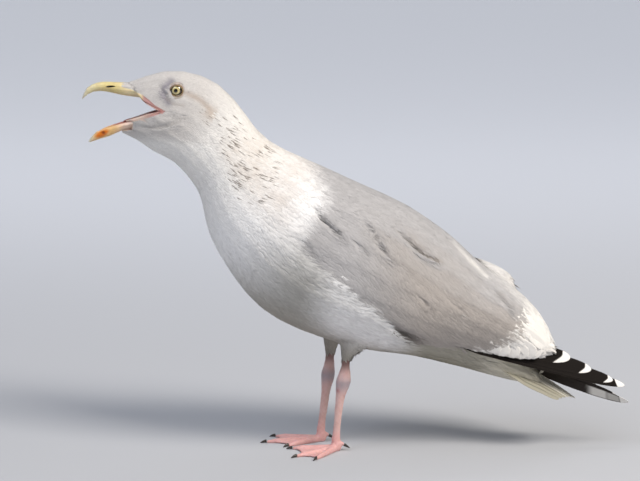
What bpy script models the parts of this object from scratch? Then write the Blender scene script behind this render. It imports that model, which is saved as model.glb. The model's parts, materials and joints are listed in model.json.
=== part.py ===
"""A herring gull, life size, standing and calling with its bill open.

Blender 4.5 script. Lengths in the tables are millimetres and turn to metres as meshes are made.
+Z is up, the bird faces -X and its left side is -Y. The floor under the feet is Z = 0.
"""

import math

import bmesh
import bpy
import numpy as np
from mathutils import Matrix, Vector

MM = 0.001
GAP = 0.35  # clearance between neighbouring pieces
LEFT, RIGHT = -1, 1  # the side of Y on which a paired piece lies
SIDES = {LEFT: "left", RIGHT: "right"}
FAR = 400  # longer than anything that a cutter has to pass through

# The body with its folded wings, from the bill's base to the rump, as sections of an egg-like tube.
# Each row: back line x, z; belly line x, z; half width; how far the widest level sits below the middle.
BODY = (
    (-243.7, 397.9, -249.7, 343.8, 8.0, 0.05),  # bill base
    (-229.7, 402.7, -238.0, 338.9, 14.5, 0.08),  # lores
    (-213.6, 408.6, -225.2, 329.8, 20.0, 0.10),  # forehead
    (-197.6, 410.8, -212.4, 321.7, 24.0, 0.12),  # eyes
    (-179.4, 409.7, -201.7, 316.8, 26.8, 0.13),  # crown
    (-162.4, 404.9, -193.2, 311.4, 28.6, 0.12),  # ear coverts
    (-145.4, 395.8, -184.7, 302.8, 30.0, 0.10),  # nape
    (-130.5, 381.9, -175.6, 291.4, 31.5, 0.08),
    (-117.7, 365.3, -168.2, 279.6, 34.5, 0.05),  # neck
    (-102.8, 345.6, -163.5, 262.6, 40.0, 0.05),
    (-85.7, 331.8, -159.9, 243.0, 47.0, 0.05),  # neck base
    (-64.3, 321.7, -151.9, 222.3, 54.5, 0.05),
    (-37.4, 310.3, -134.8, 192.7, 63.0, 0.02),  # breast
    (-5.1, 295.2, -107.9, 158.7, 70.0, 0.0),
    (27.2, 280.9, -75.4, 136.6, 73.5, 0.0),  # widest
    (54.2, 268.1, -42.8, 123.4, 74.0, 0.02),
    (81.2, 250.7, -10.2, 113.2, 72.0, 0.05),  # belly
    (108.4, 229.9, 22.4, 106.5, 68.0, 0.08),
    (135.6, 203.7, 60.5, 101.9, 62.0, 0.0),  # vent
    (165.5, 182.5, 98.7, 92.3, 54.0, -0.15),
    (192.0, 159.5, 136.9, 83.8, 45.0, -0.25),
    (209.5, 135.5, 176.0, 84.0, 34.0, -0.25),
    (218.0, 112.5, 207.0, 98.0, 20.0, -0.2),  # tips of the tertials
)
# The same tube under the wings, in the same columns, from the breast to the root of the tail.
CORE = (
    (-66.0, 319.0, -151.0, 224.0, 50.5, 0.05),
    (-41.0, 305.0, -133.5, 194.5, 57.0, 0.02),
    (-10.0, 288.5, -106.5, 161.0, 62.5, 0.0),
    (21.5, 271.0, -74.0, 139.0, 64.5, 0.0),
    (47.0, 254.0, -41.5, 126.0, 64.0, 0.02),
    (71.0, 233.0, -9.5, 116.0, 61.5, 0.05),
    (93.5, 208.0, 23.0, 109.0, 57.5, 0.08),
    (115.5, 180.0, 61.0, 104.5, 51.0, 0.0),
    (136.2, 153.0, 99.0, 93.5, 43.0, -0.1),
    (157.0, 129.0, 136.9, 82.0, 35.0, -0.1),
    (178.2, 106.5, 170.0, 73.5, 27.0, 0.0),
    (200.0, 84.5, 198.0, 68.5, 19.0, 0.0),
)
# Planes that part the body, each by the rows of BODY between which it cuts.
HEAD_END, NECK_END, TRUNK_END = 6.3, 11.4, 16.9
# Sections along each tube, and points round each section.
BODY_RINGS, BODY_SEGMENTS = 29, 22
CORE_RINGS, CORE_SEGMENTS = 12, 16
BILL_RINGS, BILL_SEGMENTS = 13, 12
THIGH_RINGS, THIGH_SEGMENTS = 6, 12
SHANK_RINGS, SHANK_SEGMENTS = 12, 8
TAIL_RINGS, TONGUE_RINGS, TROUGH_RINGS = 8, 7, 8
TONGUE_SEGMENTS, TROUGH_SEGMENTS, SMALL_SEGMENTS = 10, 8, 6
EYE_RINGS, EYE_SEGMENTS = 8, 14
HOLLOW_RINGS, HOLLOW_SEGMENTS, SLOT_SEGMENTS, HUB_SEGMENTS = 6, 10, 8, 12

# Side outline of the folded wing, from the top of the shoulder forward, down and back to the tertial tips.
WING_OUTLINE = (
    (-26.7, 276.1),
    (-44.8, 273.3),
    (-58.6, 257.3),
    (-70.3, 238.0),
    (-55.5, 221.9),
    (-33.2, 205.8),
    (-5.5, 183.1),
    (13.8, 165.8),
    (31.0, 149.6),
    (44.0, 126.4),
    (74.9, 120.3),
    (108.0, 117.7),
    (152.0, 110.5),
    (191.6, 103.4),
    (203.4, 105.0),
    (213.8, 112.1),
    (240.0, 131.1),
    (190.0, 230.0),
    (120.0, 270.0),
    (84.0, 231.0),
    (48.2, 247.0),
    (5.3, 266.4),
)
WING_CORNERS_ROUNDED = 2  # passes that round the outline's corners

# Side outline of the folded primaries, clockwise from the front of the lower edge to the tip.
PRIMARIES_OUTLINE = (
    (100.6, 118.8),
    (153.2, 105.7),
    (205.6, 94.0),
    (238.1, 84.8),
    (281.6, 71.6),
    (293.8, 68.0),
    (290.8, 72.6),
    (260.2, 94.3),
    (238.3, 107.6),
    (218.6, 121.9),
    (178.9, 128.7),
    (125.6, 126.7),
)
PRIMARIES_TIP = 5  # the outline's point at the tip
PRIMARIES_THICK = 3.0
PRIMARIES_HINGE = (175.0, 111.0)  # x, z about which the right ones are turned down
PRIMARIES_LEAN = math.radians(32)  # the stack leans in from the vertical
PRIMARIES_Y = (50.0, 13.0)  # of the lower edge from the midline, at its front and at the tip
RIGHT_DROOP = math.radians(5.7)  # the right wing's tip hangs lower than the left one's
RIGHT_SLIP = (12.0, -11.5)  # and lies further back and down
RIGHT_SAG = 6.0  # its lower edge bows down by this much
# Ruffled tertials on the right wing: centre, half width and half height of a ridge's sections.
RAISED_TERTIALS = (
    ((104.0, 27.0, 203.0), 6.0, 3.5),
    ((132.5, 24.0, 195.6), 13.0, 10.0),
    ((144.5, 23.0, 188.8), 15.0, 12.0),
    ((155.0, 22.0, 182.9), 15.0, 13.0),
    ((164.5, 21.0, 177.0), 12.0, 12.5),
    ((169.5, 20.5, 173.0), 7.0, 8.0),
)

# Folded tail, from base to tip: ridge x, z; half width; droop of the sides; thickness.
TAIL = (
    (140.0, 104.0, 20.0, 7.0, 7.0),
    (175.0, 91.5, 25.0, 11.0, 5.0),
    (203.0, 78.0, 28.5, 13.0, 3.4),
    (218.0, 68.8, 28.5, 12.0, 2.4),
    (231.0, 59.5, 23.0, 7.5, 2.0),
    (239.0, 53.4, 15.0, 3.0, 1.6),
    (241.4, 51.8, 6.0, 0.5, 1.4),
)

TAIL_ACROSS, TAIL_EDGE_THINNED = 5, 0.6

# Bill, from inside the head to the tip: upper edge x, z; lower edge x, z; half width.
BILL_UPPER = (
    (-226.0, 399.5, -208.0, 373.0, 11.0),
    (-243.7, 398.3, -226.0, 380.6, 9.0),
    (-255.4, 398.4, -244.8, 383.3, 7.6),
    (-266.4, 398.9, -260.5, 387.2, 6.4),
    (-273.4, 398.3, -270.0, 388.9, 5.6),
    (-280.9, 395.9, -279.0, 388.2, 4.6),
    (-286.6, 391.9, -285.2, 385.6, 3.5),
    (-290.1, 386.3, -288.9, 382.4, 2.3),
    (-292.1, 380.9, -291.3, 380.2, 0.8),
)
BILL_LOWER = (
    (-214.0, 366.0, -220.0, 356.5, 12.5),
    (-226.5, 363.2, -230.0, 353.5, 11.0),
    (-235.3, 360.2, -239.0, 351.2, 9.8),
    (-246.2, 357.3, -248.0, 347.4, 8.4),
    (-257.2, 354.5, -257.2, 343.6, 7.0),
    (-267.1, 351.0, -264.8, 340.2, 5.8),
    (-275.2, 346.3, -271.8, 338.4, 4.6),
    (-281.6, 340.2, -278.8, 336.0, 3.0),
    (-285.6, 335.0, -283.8, 334.3, 0.9),
)
# The open mouth as a wedge seen from the side, and what lies in front of the face's feathers.
MOUTH = (
    (-207.0, 369.2),
    (-214.0, 373.0),
    (-228.5, 380.7),
    (-250.0, 384.5),
    (-320.0, 387.0),
    (-320.0, 338.0),
    (-257.2, 354.6),
    (-235.3, 360.4),
    (-222.0, 364.8),
    (-212.0, 367.4),
)
BILL_BASE = ((-246.0, 402.0), (-225.5, 379.0))  # upper and lower end of the plane
PALATE = (-246.0, 380.5, 32.0, 5.2, 5.0)  # hollow under the upper half: centre x, z; half sizes x, y, z
THROAT = (-211.0, 368.0, 9.5, 8.0, 4.6)  # hollow behind the gape: centre x, z; half sizes x, y, z
FACE_OVER = 20.0  # the face's cutter goes this far above the bill
TROUGH_DEPTH, TROUGH_LEAN, BILL_WALL = 4.2, 1.0, 1.9
NOSTRIL = (-259.5, 393.9, 8.0, 1.5)  # centre x, z; length; height
TONGUE = (
    (-217.5, 364.3, 3.6, 1.2),
    (-232.0, 360.0, 4.2, 1.4),
    (-246.0, 355.6, 3.3, 1.2),
    (-259.0, 351.6, 1.6, 0.9),
)  # centre x, z; half width; half thickness

EYE_X, EYE_Y, EYE_Z, EYE_RADIUS, EYE_FLATTENED = -189.4, 15.6, 390.8, 7.2, 0.9

# Legs: side, then centre line x, y, z with fore-and-aft and sideways radius, from the thigh down.
THIGHS = {
    LEFT: (
        (14.0, -25.0, 150.0, 25.0, 20.0),
        (2.0, -26.0, 124.0, 19.0, 15.0),
        (-6.0, -25.0, 110.5, 9.5, 8.0),
        (-9.4, -24.5, 103.0, 5.4, 4.8),
    ),
    RIGHT: (
        (-2.0, 25.0, 152.0, 26.0, 20.0),
        (-19.0, 26.0, 126.0, 17.0, 14.0),
        (-25.0, 25.0, 112.0, 9.0, 8.0),
        (-26.4, 24.5, 101.0, 5.6, 4.8),
    ),
}
SHANKS = {
    LEFT: (
        (-9.4, -24.5, 102.6, 4.6, 3.9),
        (-10.0, -24.2, 92.0, 4.6, 3.8),
        (-10.9, -24.0, 85.5, 6.4, 4.8),
        (-11.9, -23.8, 78.5, 8.2, 6.2),
        (-13.2, -23.5, 70.5, 7.3, 5.2),
        (-15.0, -23.2, 62.0, 5.3, 3.9),
        (-17.4, -22.8, 43.0, 4.3, 3.1),
        (-19.3, -22.2, 22.0, 3.9, 3.1),
        (-20.3, -22.0, 11.5, 4.7, 4.3),
    ),
    RIGHT: (
        (-26.4, 24.5, 100.6, 5.0, 4.0),
        (-26.9, 24.2, 89.0, 5.0, 3.9),
        (-27.6, 24.0, 82.0, 6.4, 4.8),
        (-28.6, 23.8, 75.0, 7.8, 6.0),
        (-29.3, 23.5, 67.5, 6.8, 5.1),
        (-30.6, 23.2, 59.0, 5.2, 3.9),
        (-33.2, 22.8, 38.0, 4.4, 3.1),
        (-35.6, 22.2, 20.0, 4.1, 3.1),
        (-36.6, 22.0, 11.5, 4.8, 4.3),
    ),
}
# Toes: length to the claw, and the way each points, in degrees out from straight ahead.
TOES = {
    LEFT: {"inner": (47.0, -6.0), "middle": (52.0, 36.0), "outer": (46.0, 63.0)},
    RIGHT: {"inner": (44.0, -37.0), "middle": (60.0, -9.0), "outer": (53.0, 19.0)},
}
HUB_CENTRE, HUB_RADII = Vector((0.5, 0, 5.6)), (5.9, 5.3, 7.3)
TOE_RADII = (3.9, 3.3, 2.9, 2.5)  # from the foot's hub to the claw
TOE_STEPS, TOE_END, TOE_RISE = 5, 0.6, 0.8  # its end's share of the radius; its axis over the floor
WEB_THICK, WEB_HEIGHT = 1.7, 0.5
WEB_REACH, WEB_BITE = 0.95, 0.84  # how far out the web goes along a toe and between two
WEB_STATIONS = (0.0, 0.2, 0.5, 0.8)  # points on the web's edge, from one toe to the next
CLAW_LENGTH, CLAW_RADIUS, CLAW_TIP, CLAW_HEIGHT = 7.0, 1.7, 0.35, 2.35
CLAW_FALL, CLAW_FALL_HIND = 2.0, 1.0  # how far the tip curves down
CLAW_STEPS, CLAW_TAPER, CLAW_NARROW = 4, 0.7, 0.8
HIND_TOE = ((0.0, 8.0, 2.6), (5.0, 8.6, 2.4), (8.6, 6.9, 1.9))  # behind the hub; height; radius

COLOURS = {
    "white_plumage": ((0.86, 0.85, 0.83, 1.0), 0.8),
    "grey_plumage": ((0.50, 0.50, 0.51, 1.0), 0.75),
    "black_primaries": ((0.03, 0.03, 0.032, 1.0), 0.5),
    "bill_horn": ((0.83, 0.68, 0.33, 1.0), 0.35),
    "mouth_flesh": ((0.78, 0.45, 0.42, 1.0), 0.4),
    "eye_glass": ((0.80, 0.72, 0.42, 1.0), 0.1),
    "leg_skin": ((0.78, 0.53, 0.50, 1.0), 0.5),
    "claw_horn": ((0.05, 0.04, 0.04, 1.0), 0.35),
}


def clear_scene():
    for obj in list(bpy.data.objects):
        bpy.data.objects.remove(obj, do_unlink=True)


def material(name):
    made = bpy.data.materials.get(name)
    if made is None:
        colour, roughness = COLOURS[name]
        made = bpy.data.materials.new(name)
        made.use_nodes = True
        shader = made.node_tree.nodes["Principled BSDF"]
        shader.inputs["Base Color"].default_value = colour
        shader.inputs["Roughness"].default_value = roughness
        shader.inputs["Metallic"].default_value = 0.0
    return made


def new_object(name, bm, finish=None):
    """A named object from a bmesh in millimetres, or a hidden cutter where no finish is given."""
    bmesh.ops.recalc_face_normals(bm, faces=bm.faces)
    bmesh.ops.scale(bm, vec=(MM, MM, MM), verts=bm.verts)
    mesh = bpy.data.meshes.new(name)
    bm.to_mesh(mesh)
    bm.free()
    obj = bpy.data.objects.new(name, mesh)
    bpy.context.scene.collection.objects.link(obj)
    if finish is None:
        obj.hide_render = True
        obj.display_type = "WIRE"
    else:
        mesh.materials.append(material(finish))
    return obj


def smooth_rows(rows, count, start=0.0, end=None, places=2):
    """count rows read from the smooth curve through rows, from row number start to row number end.

    The first places columns are a point, and the curve is measured along those points.
    """
    table = np.array(rows, float)
    last = len(table) - 1
    steps = np.linalg.norm(np.diff(table[:, :places], axis=0), axis=1)
    knots = np.concatenate([[0.0], np.cumsum(steps)])
    slopes = np.empty_like(table)
    slopes[0] = (table[1] - table[0]) / steps[0]
    slopes[-1] = (table[-1] - table[-2]) / steps[-1]
    for i in range(1, last):
        before = (table[i] - table[i - 1]) / steps[i - 1]
        after = (table[i + 1] - table[i]) / steps[i]
        slopes[i] = (before * steps[i] + after * steps[i - 1]) / (steps[i - 1] + steps[i])
    numbers = np.interp(
        np.linspace(*np.interp([start, last if end is None else end], range(last + 1), knots), count),
        knots,
        range(last + 1),
    )
    found = []
    for number in numbers:
        i = min(int(number), last - 1)
        t, h = number - i, steps[i]
        found.append(
            (2 * t**3 - 3 * t**2 + 1) * table[i]
            + (t**3 - 2 * t**2 + t) * h * slopes[i]
            + (3 * t**2 - 2 * t**3) * table[i + 1]
            + (t**3 - t**2) * h * slopes[i + 1]
        )
    return found


def egg_ring(top_x, top_z, low_x, low_z, half_width, droop, segments):
    """Points round an egg-shaped section between its top and its lowest point."""
    top, low = Vector((top_x, 0, top_z)), Vector((low_x, 0, low_z))
    ring = []
    for k in range(segments):
        turn = 2 * math.pi * k / segments
        side = math.sin(turn) * (1 - droop * math.cos(turn))
        point = (top + low) / 2 + (top - low) / 2 * math.cos(turn)
        ring.append(point + Vector((0, half_width * side, 0)))
    return ring


def tube(name, rings, finish=None):
    """A closed solid through rings of points, with flat ends."""
    bm = bmesh.new()
    loops = [[bm.verts.new(p) for p in ring] for ring in rings]
    for a, b in zip(loops, loops[1:]):
        for k in range(len(a)):
            n = (k + 1) % len(a)
            bm.faces.new((a[k], a[n], b[n], b[k]))
    bm.faces.new(loops[0])
    bm.faces.new(reversed(loops[-1]))
    return new_object(name, bm, finish)


def prism(name, outline, y_from, y_to):
    """A cutter: an outline in the XZ plane, carried from one Y to another."""
    bm = bmesh.new()
    front = [bm.verts.new((x, y_from, z)) for x, z in outline]
    back = [bm.verts.new((x, y_to, z)) for x, z in outline]
    for k in range(len(outline)):
        n = (k + 1) % len(outline)
        bm.faces.new((front[k], front[n], back[n], back[k]))
    bm.faces.new(front)
    bm.faces.new(reversed(back))
    return new_object(name, bm)


def ellipsoid(name, centre, radii, finish=None, rings=HOLLOW_RINGS, segments=HOLLOW_SEGMENTS):
    bm = bmesh.new()
    bmesh.ops.create_uvsphere(bm, u_segments=segments, v_segments=rings, radius=1.0)
    bmesh.ops.scale(bm, vec=radii, verts=bm.verts)
    bmesh.ops.translate(bm, vec=centre, verts=bm.verts)
    return new_object(name, bm, finish)


def boolean(obj, other, operation):
    """Applies one Boolean to obj; other stays as it is."""
    modifier = obj.modifiers.new(operation.lower(), "BOOLEAN")
    modifier.operation = operation
    modifier.solver = "EXACT"
    modifier.object = other
    apply_modifiers(obj)


def drop_slivers(obj):
    """Keeps only the largest of the bodies that a cut has left in obj."""
    bm = bmesh.new()
    bm.from_mesh(obj.data)
    left, bodies = set(bm.verts), []
    while left:
        grown, edge = set(), {next(iter(left))}
        while edge:
            grown |= edge
            edge = {e.other_vert(v) for v in edge for e in v.link_edges} - grown
        left -= grown
        bodies.append(grown)
    bodies.sort(key=len)
    for body in bodies[:-1]:
        bmesh.ops.delete(bm, geom=list(body), context="VERTS")
    bm.to_mesh(obj.data)
    bm.free()


def apply_modifiers(obj):
    graph = bpy.context.evaluated_depsgraph_get()
    made = bpy.data.meshes.new_from_object(obj.evaluated_get(graph))
    obj.modifiers.clear()
    obj.data = made


def copy_of(obj, name, grow=0.0):
    """A hidden copy, its surface moved out by grow along the normals."""
    made = obj.copy()
    made.data = obj.data.copy()
    made.name = name
    bpy.context.scene.collection.objects.link(made)
    made.hide_render = True
    made.display_type = "WIRE"
    if grow:
        modifier = made.modifiers.new("grow", "DISPLACE")
        modifier.mid_level = 0.0
        modifier.strength = grow * MM
        apply_modifiers(made)
    return made


def remove(*objs):
    for obj in objs:
        bpy.data.objects.remove(obj, do_unlink=True)


def rounded(outline, passes):
    """The outline with its corners cut, by Chaikin's rule."""
    points = [Vector(p) for p in outline]
    for _ in range(passes):
        points = [
            q
            for a, b in zip(points, points[1:] + points[:1])
            for q in (a * 0.75 + b * 0.25, a * 0.25 + b * 0.75)
        ]
    return [tuple(p) for p in points]


def section_plane(row):
    """A point and a backward normal of the body's section at this row number."""
    top_x, top_z, low_x, low_z = smooth_rows(BODY, 2, row, row + 1e-3)[0][:4]
    along = Vector((top_x - low_x, 0, top_z - low_z)).normalized()
    return Vector((top_x, 0, top_z)), Vector((along.z, 0, -along.x))


def keep_side(obj, point, normal):
    """Cuts obj at a plane and closes it, keeping what lies along the normal."""
    bm = bmesh.new()
    bm.from_mesh(obj.data)
    geometry = bm.verts[:] + bm.edges[:] + bm.faces[:]
    cut = bmesh.ops.bisect_plane(
        bm, geom=geometry, plane_co=point * MM, plane_no=normal, clear_inner=True
    )
    rim = [e for e in cut["geom_cut"] if isinstance(e, bmesh.types.BMEdge)]
    bmesh.ops.edgeloop_fill(bm, edges=rim)
    bmesh.ops.recalc_face_normals(bm, faces=bm.faces)
    bm.to_mesh(obj.data)
    bm.free()


def slice_of(obj, name, start, end, finish):
    """The stretch of a body between two section rows, as a node of its own."""
    piece = copy_of(obj, name)
    piece.hide_render = False
    piece.display_type = "TEXTURED"
    piece.data.materials.clear()
    piece.data.materials.append(material(finish))
    if start is not None:
        point, back = section_plane(start)
        keep_side(piece, point + back * GAP / 2, back)
    if end is not None:
        point, back = section_plane(end)
        keep_side(piece, point - back * GAP / 2, -back)
    return piece


def body_tube(name, rows, rings, segments):
    return tube(name, [egg_ring(*row, segments) for row in smooth_rows(rows, rings)])


def wing_cutter(name, side, grow=0.0):
    """The space that one folded wing takes, from just off the midline outwards."""
    outline = rounded(WING_OUTLINE, WING_CORNERS_ROUNDED)
    if grow:
        centre = Vector(np.mean(outline, axis=0))
        outline = [
            tuple(Vector(p) + (Vector(p) - centre).normalized() * grow) for p in outline
        ]
    return prism(name, outline, side * (GAP / 2 - grow), side * FAR)


def primaries(name, side):
    """The black fan of outer flight feathers: a thin leaning plate that closes in on the midline."""
    droop, slip, sag = (RIGHT_DROOP, RIGHT_SLIP, RIGHT_SAG) if side == RIGHT else (0.0, (0.0, 0.0), 0.0)
    pivot = Vector((PRIMARIES_HINGE[0], 0.0, PRIMARIES_HINGE[1]))
    front_x, tip_x = PRIMARIES_OUTLINE[0][0], PRIMARIES_OUTLINE[PRIMARIES_TIP][0]
    low_z = PRIMARIES_OUTLINE[0][1]
    fall = (PRIMARIES_OUTLINE[PRIMARIES_TIP][1] - low_z) / (tip_x - front_x)
    bm = bmesh.new()
    skins = []
    for offset in (0.0, PRIMARIES_THICK):
        loop = []
        for x, z in PRIMARIES_OUTLINE:
            along = (x - front_x) / (tip_x - front_x)
            edge_y = PRIMARIES_Y[0] + (PRIMARIES_Y[1] - PRIMARIES_Y[0]) * along
            height = z - low_z - fall * (x - front_x)
            y = edge_y - offset - height * math.tan(PRIMARIES_LEAN)
            away = Vector((x, 0, z - sag * math.sin(math.pi * min(max(along, 0.0), 1.0)))) - pivot
            turned = Vector(
                (
                    away.x * math.cos(droop) + away.z * math.sin(droop),
                    0,
                    away.z * math.cos(droop) - away.x * math.sin(droop),
                )
            )
            loop.append(bm.verts.new(pivot + turned + Vector((slip[0], side * y, slip[1]))))
        skins.append(loop)
    outer, inner = skins
    for k in range(len(outer)):
        n = (k + 1) % len(outer)
        bm.faces.new((outer[k], outer[n], inner[n], inner[k]))
    bm.faces.new(outer)
    bm.faces.new(reversed(inner))
    bmesh.ops.triangulate(bm, faces=bm.faces)
    return new_object(name, bm, "black_primaries")


def tail():
    """Folded tail feathers as one arched plate, ridge up, sides drooping."""
    rings = []
    for x, z, half_width, droop, thick in smooth_rows(TAIL, TAIL_RINGS):
        ring = []
        upper = range(-TAIL_ACROSS, TAIL_ACROSS + 1)
        for level, order in ((0.5, upper), (-0.5, reversed(upper))):
            for k in order:
                share = k / TAIL_ACROSS
                edge = thick * level * (1 - TAIL_EDGE_THINNED * share * share)
                ring.append(Vector((x, half_width * share, z - droop * share * share + edge)))
        rings.append(ring)
    return tube("tail", rings, "white_plumage")


def bill_half(name, rows):
    rings = [egg_ring(*row, 0.0, BILL_SEGMENTS) for row in smooth_rows(rows, BILL_RINGS)]
    return tube(name, rings, "bill_horn")


def bill_upper():
    """Upper mandible: hooked, hollow along the palate, pierced by the nostrils, flush with the feathers."""
    piece = bill_half("bill_upper", BILL_UPPER)
    high, low = (Vector((x, 0, z)) for x, z in BILL_BASE)
    along = (high - low).normalized()
    front = Vector((-along.z, 0, along.x))
    keep_side(piece, high + front * GAP / 2, front)
    x, z, half_x, half_y, half_z = PALATE
    palate = ellipsoid("palate_cutter", (x, 0, z), (half_x, half_y, half_z))
    x, z, length, height = NOSTRIL
    slot = ellipsoid("nostril_cutter", (x, 0, z), (length / 2, FAR, height / 2), segments=SLOT_SEGMENTS)
    boolean(piece, palate, "DIFFERENCE")
    boolean(piece, slot, "DIFFERENCE")
    remove(palate, slot)
    return piece


def bill_lower():
    """Lower mandible: a trough between two rami, with the angle of the gonys below."""
    piece = bill_half("bill_lower", BILL_LOWER)
    rows = [
        (x + TROUGH_LEAN, z + TROUGH_DEPTH, x - TROUGH_LEAN, z - TROUGH_DEPTH, width - BILL_WALL)
        for x, z, _, _, width in BILL_LOWER[:-2]
    ]
    rings = [egg_ring(*row, 0.0, TROUGH_SEGMENTS) for row in smooth_rows(rows, TROUGH_RINGS)]
    trough = tube("trough_cutter", rings)
    boolean(piece, trough, "DIFFERENCE")
    remove(trough)
    return piece


def tongue():
    rings = []
    turns = [2 * math.pi * k / TONGUE_SEGMENTS for k in range(TONGUE_SEGMENTS)]
    for x, z, half_width, half_thick in smooth_rows(TONGUE, TONGUE_RINGS):
        rings.append([Vector((x, half_width * math.sin(t), z + half_thick * math.cos(t))) for t in turns])
    return tube("tongue", rings, "mouth_flesh")


def eye(name, side):
    """An eyeball, flattened a little towards the outside."""
    centre = (EYE_X, side * EYE_Y, EYE_Z)
    radii = (EYE_RADIUS, EYE_RADIUS * EYE_FLATTENED, EYE_RADIUS)
    return ellipsoid(name, centre, radii, "eye_glass", EYE_RINGS, EYE_SEGMENTS)


def finish_head(head, eyes):
    """Opens the mouth, fits both halves of the bill and sinks the eye sockets."""
    mouth = prism("mouth_cutter", MOUTH, -FAR, FAR)
    (high_x, high_z), (low_x, low_z) = BILL_BASE
    fit = GAP / 2
    front = [
        (high_x + fit, high_z + FACE_OVER),
        (high_x + fit, high_z),
        (low_x + fit, low_z),
        (-FAR, low_z),
        (-FAR, high_z + FACE_OVER),
    ]
    face = prism("face_cutter", front, -FAR, FAR)
    x, z, half_x, half_y, half_z = THROAT
    throat = ellipsoid("throat_cutter", (x, 0, z), (half_x, half_y, half_z))
    jaw_fill = bill_half("jaw_fill", BILL_LOWER)
    jaw_room = copy_of(jaw_fill, "jaw_room", grow=GAP)
    for cutter in (mouth, face, throat, jaw_room):
        boolean(head, cutter, "DIFFERENCE")
    for ball in eyes:
        socket = copy_of(ball, "socket_cutter", grow=GAP)
        boolean(head, socket, "DIFFERENCE")
        remove(socket)
    remove(mouth, face, throat, jaw_fill, jaw_room)


def limb(name, rows, finish, count, segments):
    """A tube with oval sections along a centre line."""
    rings = []
    turns = [2 * math.pi * k / segments for k in range(segments)]
    for x, y, z, fore, side in smooth_rows(rows, count, places=3):
        rings.append([Vector((x + fore * math.cos(t), y + side * math.sin(t), z)) for t in turns])
    return tube(name, rings, finish)


def bar(name, stations, finish=None, segments=8):
    """A tube with sections square to its path. Each station is a centre, a radius across and one upwards."""
    rings = []
    for i, (centre, wide, tall) in enumerate(stations):
        behind, ahead = stations[max(i - 1, 0)][0], stations[min(i + 1, len(stations) - 1)][0]
        along = (ahead - behind).normalized()
        across = Vector((-along.y, along.x, 0)).normalized()
        up = along.cross(across)
        turns = [2 * math.pi * k / segments for k in range(segments)]
        rings.append([centre + across * wide * math.cos(t) + up * tall * math.sin(t) for t in turns])
    return tube(name, rings, finish)


def toe(name, hub, tip):
    """One toe as a tapered bar with knuckles, sunk a little in the floor for a flat underside."""
    stations = []
    for i in range(TOE_STEPS + 1):
        t = i / TOE_STEPS
        radius = np.interp(t, np.linspace(0, 1, len(TOE_RADII)), TOE_RADII)
        if i == TOE_STEPS:
            radius *= TOE_END
        stations.append((hub.lerp(tip, t) + Vector((0, 0, TOE_RISE * radius)), radius, radius))
    return bar(name, stations)


def web(name, hub, tips):
    """The skin between the three toes as one sheet, with its free edges bowed in."""
    outline = [hub]
    for start, end in zip(tips, tips[1:]):
        for t in WEB_STATIONS:
            share = WEB_BITE + (WEB_REACH - WEB_BITE) * (2 * t - 1) ** 2
            outline.append(hub + (start.lerp(end, t) - hub) * share)
    outline.append(hub + (tips[-1] - hub) * WEB_REACH)
    bm = bmesh.new()
    low = [bm.verts.new((p.x, p.y, WEB_HEIGHT)) for p in outline]
    high = [bm.verts.new((p.x, p.y, WEB_HEIGHT + WEB_THICK)) for p in outline]
    for k in range(len(outline)):
        n = (k + 1) % len(outline)
        bm.faces.new((low[k], low[n], high[n], high[k]))
    bm.faces.new(low)
    bm.faces.new(reversed(high))
    bmesh.ops.triangulate(bm, faces=bm.faces)
    return new_object(name, bm)


def claw(name, root, along, fall):
    """A small claw that tapers from its root and curves down by fall."""
    stations = []
    for i in range(CLAW_STEPS + 1):
        t = i / CLAW_STEPS
        radius = CLAW_RADIUS * (1 - t) ** CLAW_TAPER + CLAW_TIP
        centre = root + along * CLAW_LENGTH * t - Vector((0, 0, fall * t * t))
        stations.append((centre, CLAW_NARROW * radius, radius))
    return bar(name, stations, "claw_horn", segments=SMALL_SEGMENTS)


def foot(side, label):
    """Three webbed toes and a small hind toe as one piece, with flat soles, and a claw on each toe."""
    x, y = SHANKS[side][-1][:2]
    hub = Vector((x, y, 0))
    tips = {}
    for toe_name, (reach, angle) in TOES[side].items():
        turn = math.radians(angle)
        tips[toe_name] = hub + reach * Vector((-math.cos(turn), side * math.sin(turn), 0))
    piece = ellipsoid(f"foot_{label}", hub + HUB_CENTRE, HUB_RADII, "leg_skin", segments=HUB_SEGMENTS)
    parts = [toe(f"toe_{n}", hub, tip) for n, tip in tips.items()]
    parts.append(web("web", hub, list(tips.values())))
    hind = [(hub + Vector((back, 0, height)), r, r) for back, height, r in HIND_TOE]
    parts.append(bar("hind_toe", hind, segments=SMALL_SEGMENTS))
    for part in parts:
        boolean(piece, part, "UNION")
    remove(*parts)
    keep_side(piece, Vector((0, 0, 0)), Vector((0, 0, 1)))
    keep_side(piece, Vector((0, 0, SHANKS[side][-1][2] - GAP)), Vector((0, 0, -1)))
    for toe_name, tip in tips.items():
        along = (tip - hub).normalized()
        claw(f"claw_{toe_name}_{label}", tip + along * GAP + Vector((0, 0, CLAW_HEIGHT)), along, CLAW_FALL)
    slope = (hind[-1][0] - hind[-2][0]).normalized()
    claw(f"claw_hind_{label}", hind[-1][0] + slope * GAP, slope, CLAW_FALL_HIND)
    return piece


def centre_on_floor():
    """Moves every piece so that the box round them all stands on Z = 0, centred on the origin."""
    shown = [o for o in bpy.data.objects if not o.hide_render]
    corners = np.array([v.co for o in shown for v in o.data.vertices])
    low, high = corners.min(axis=0), corners.max(axis=0)
    shift = Vector((-(low[0] + high[0]) / 2, -(low[1] + high[1]) / 2, -low[2]))
    for obj in shown:
        obj.data.transform(Matrix.Translation(shift))


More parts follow.
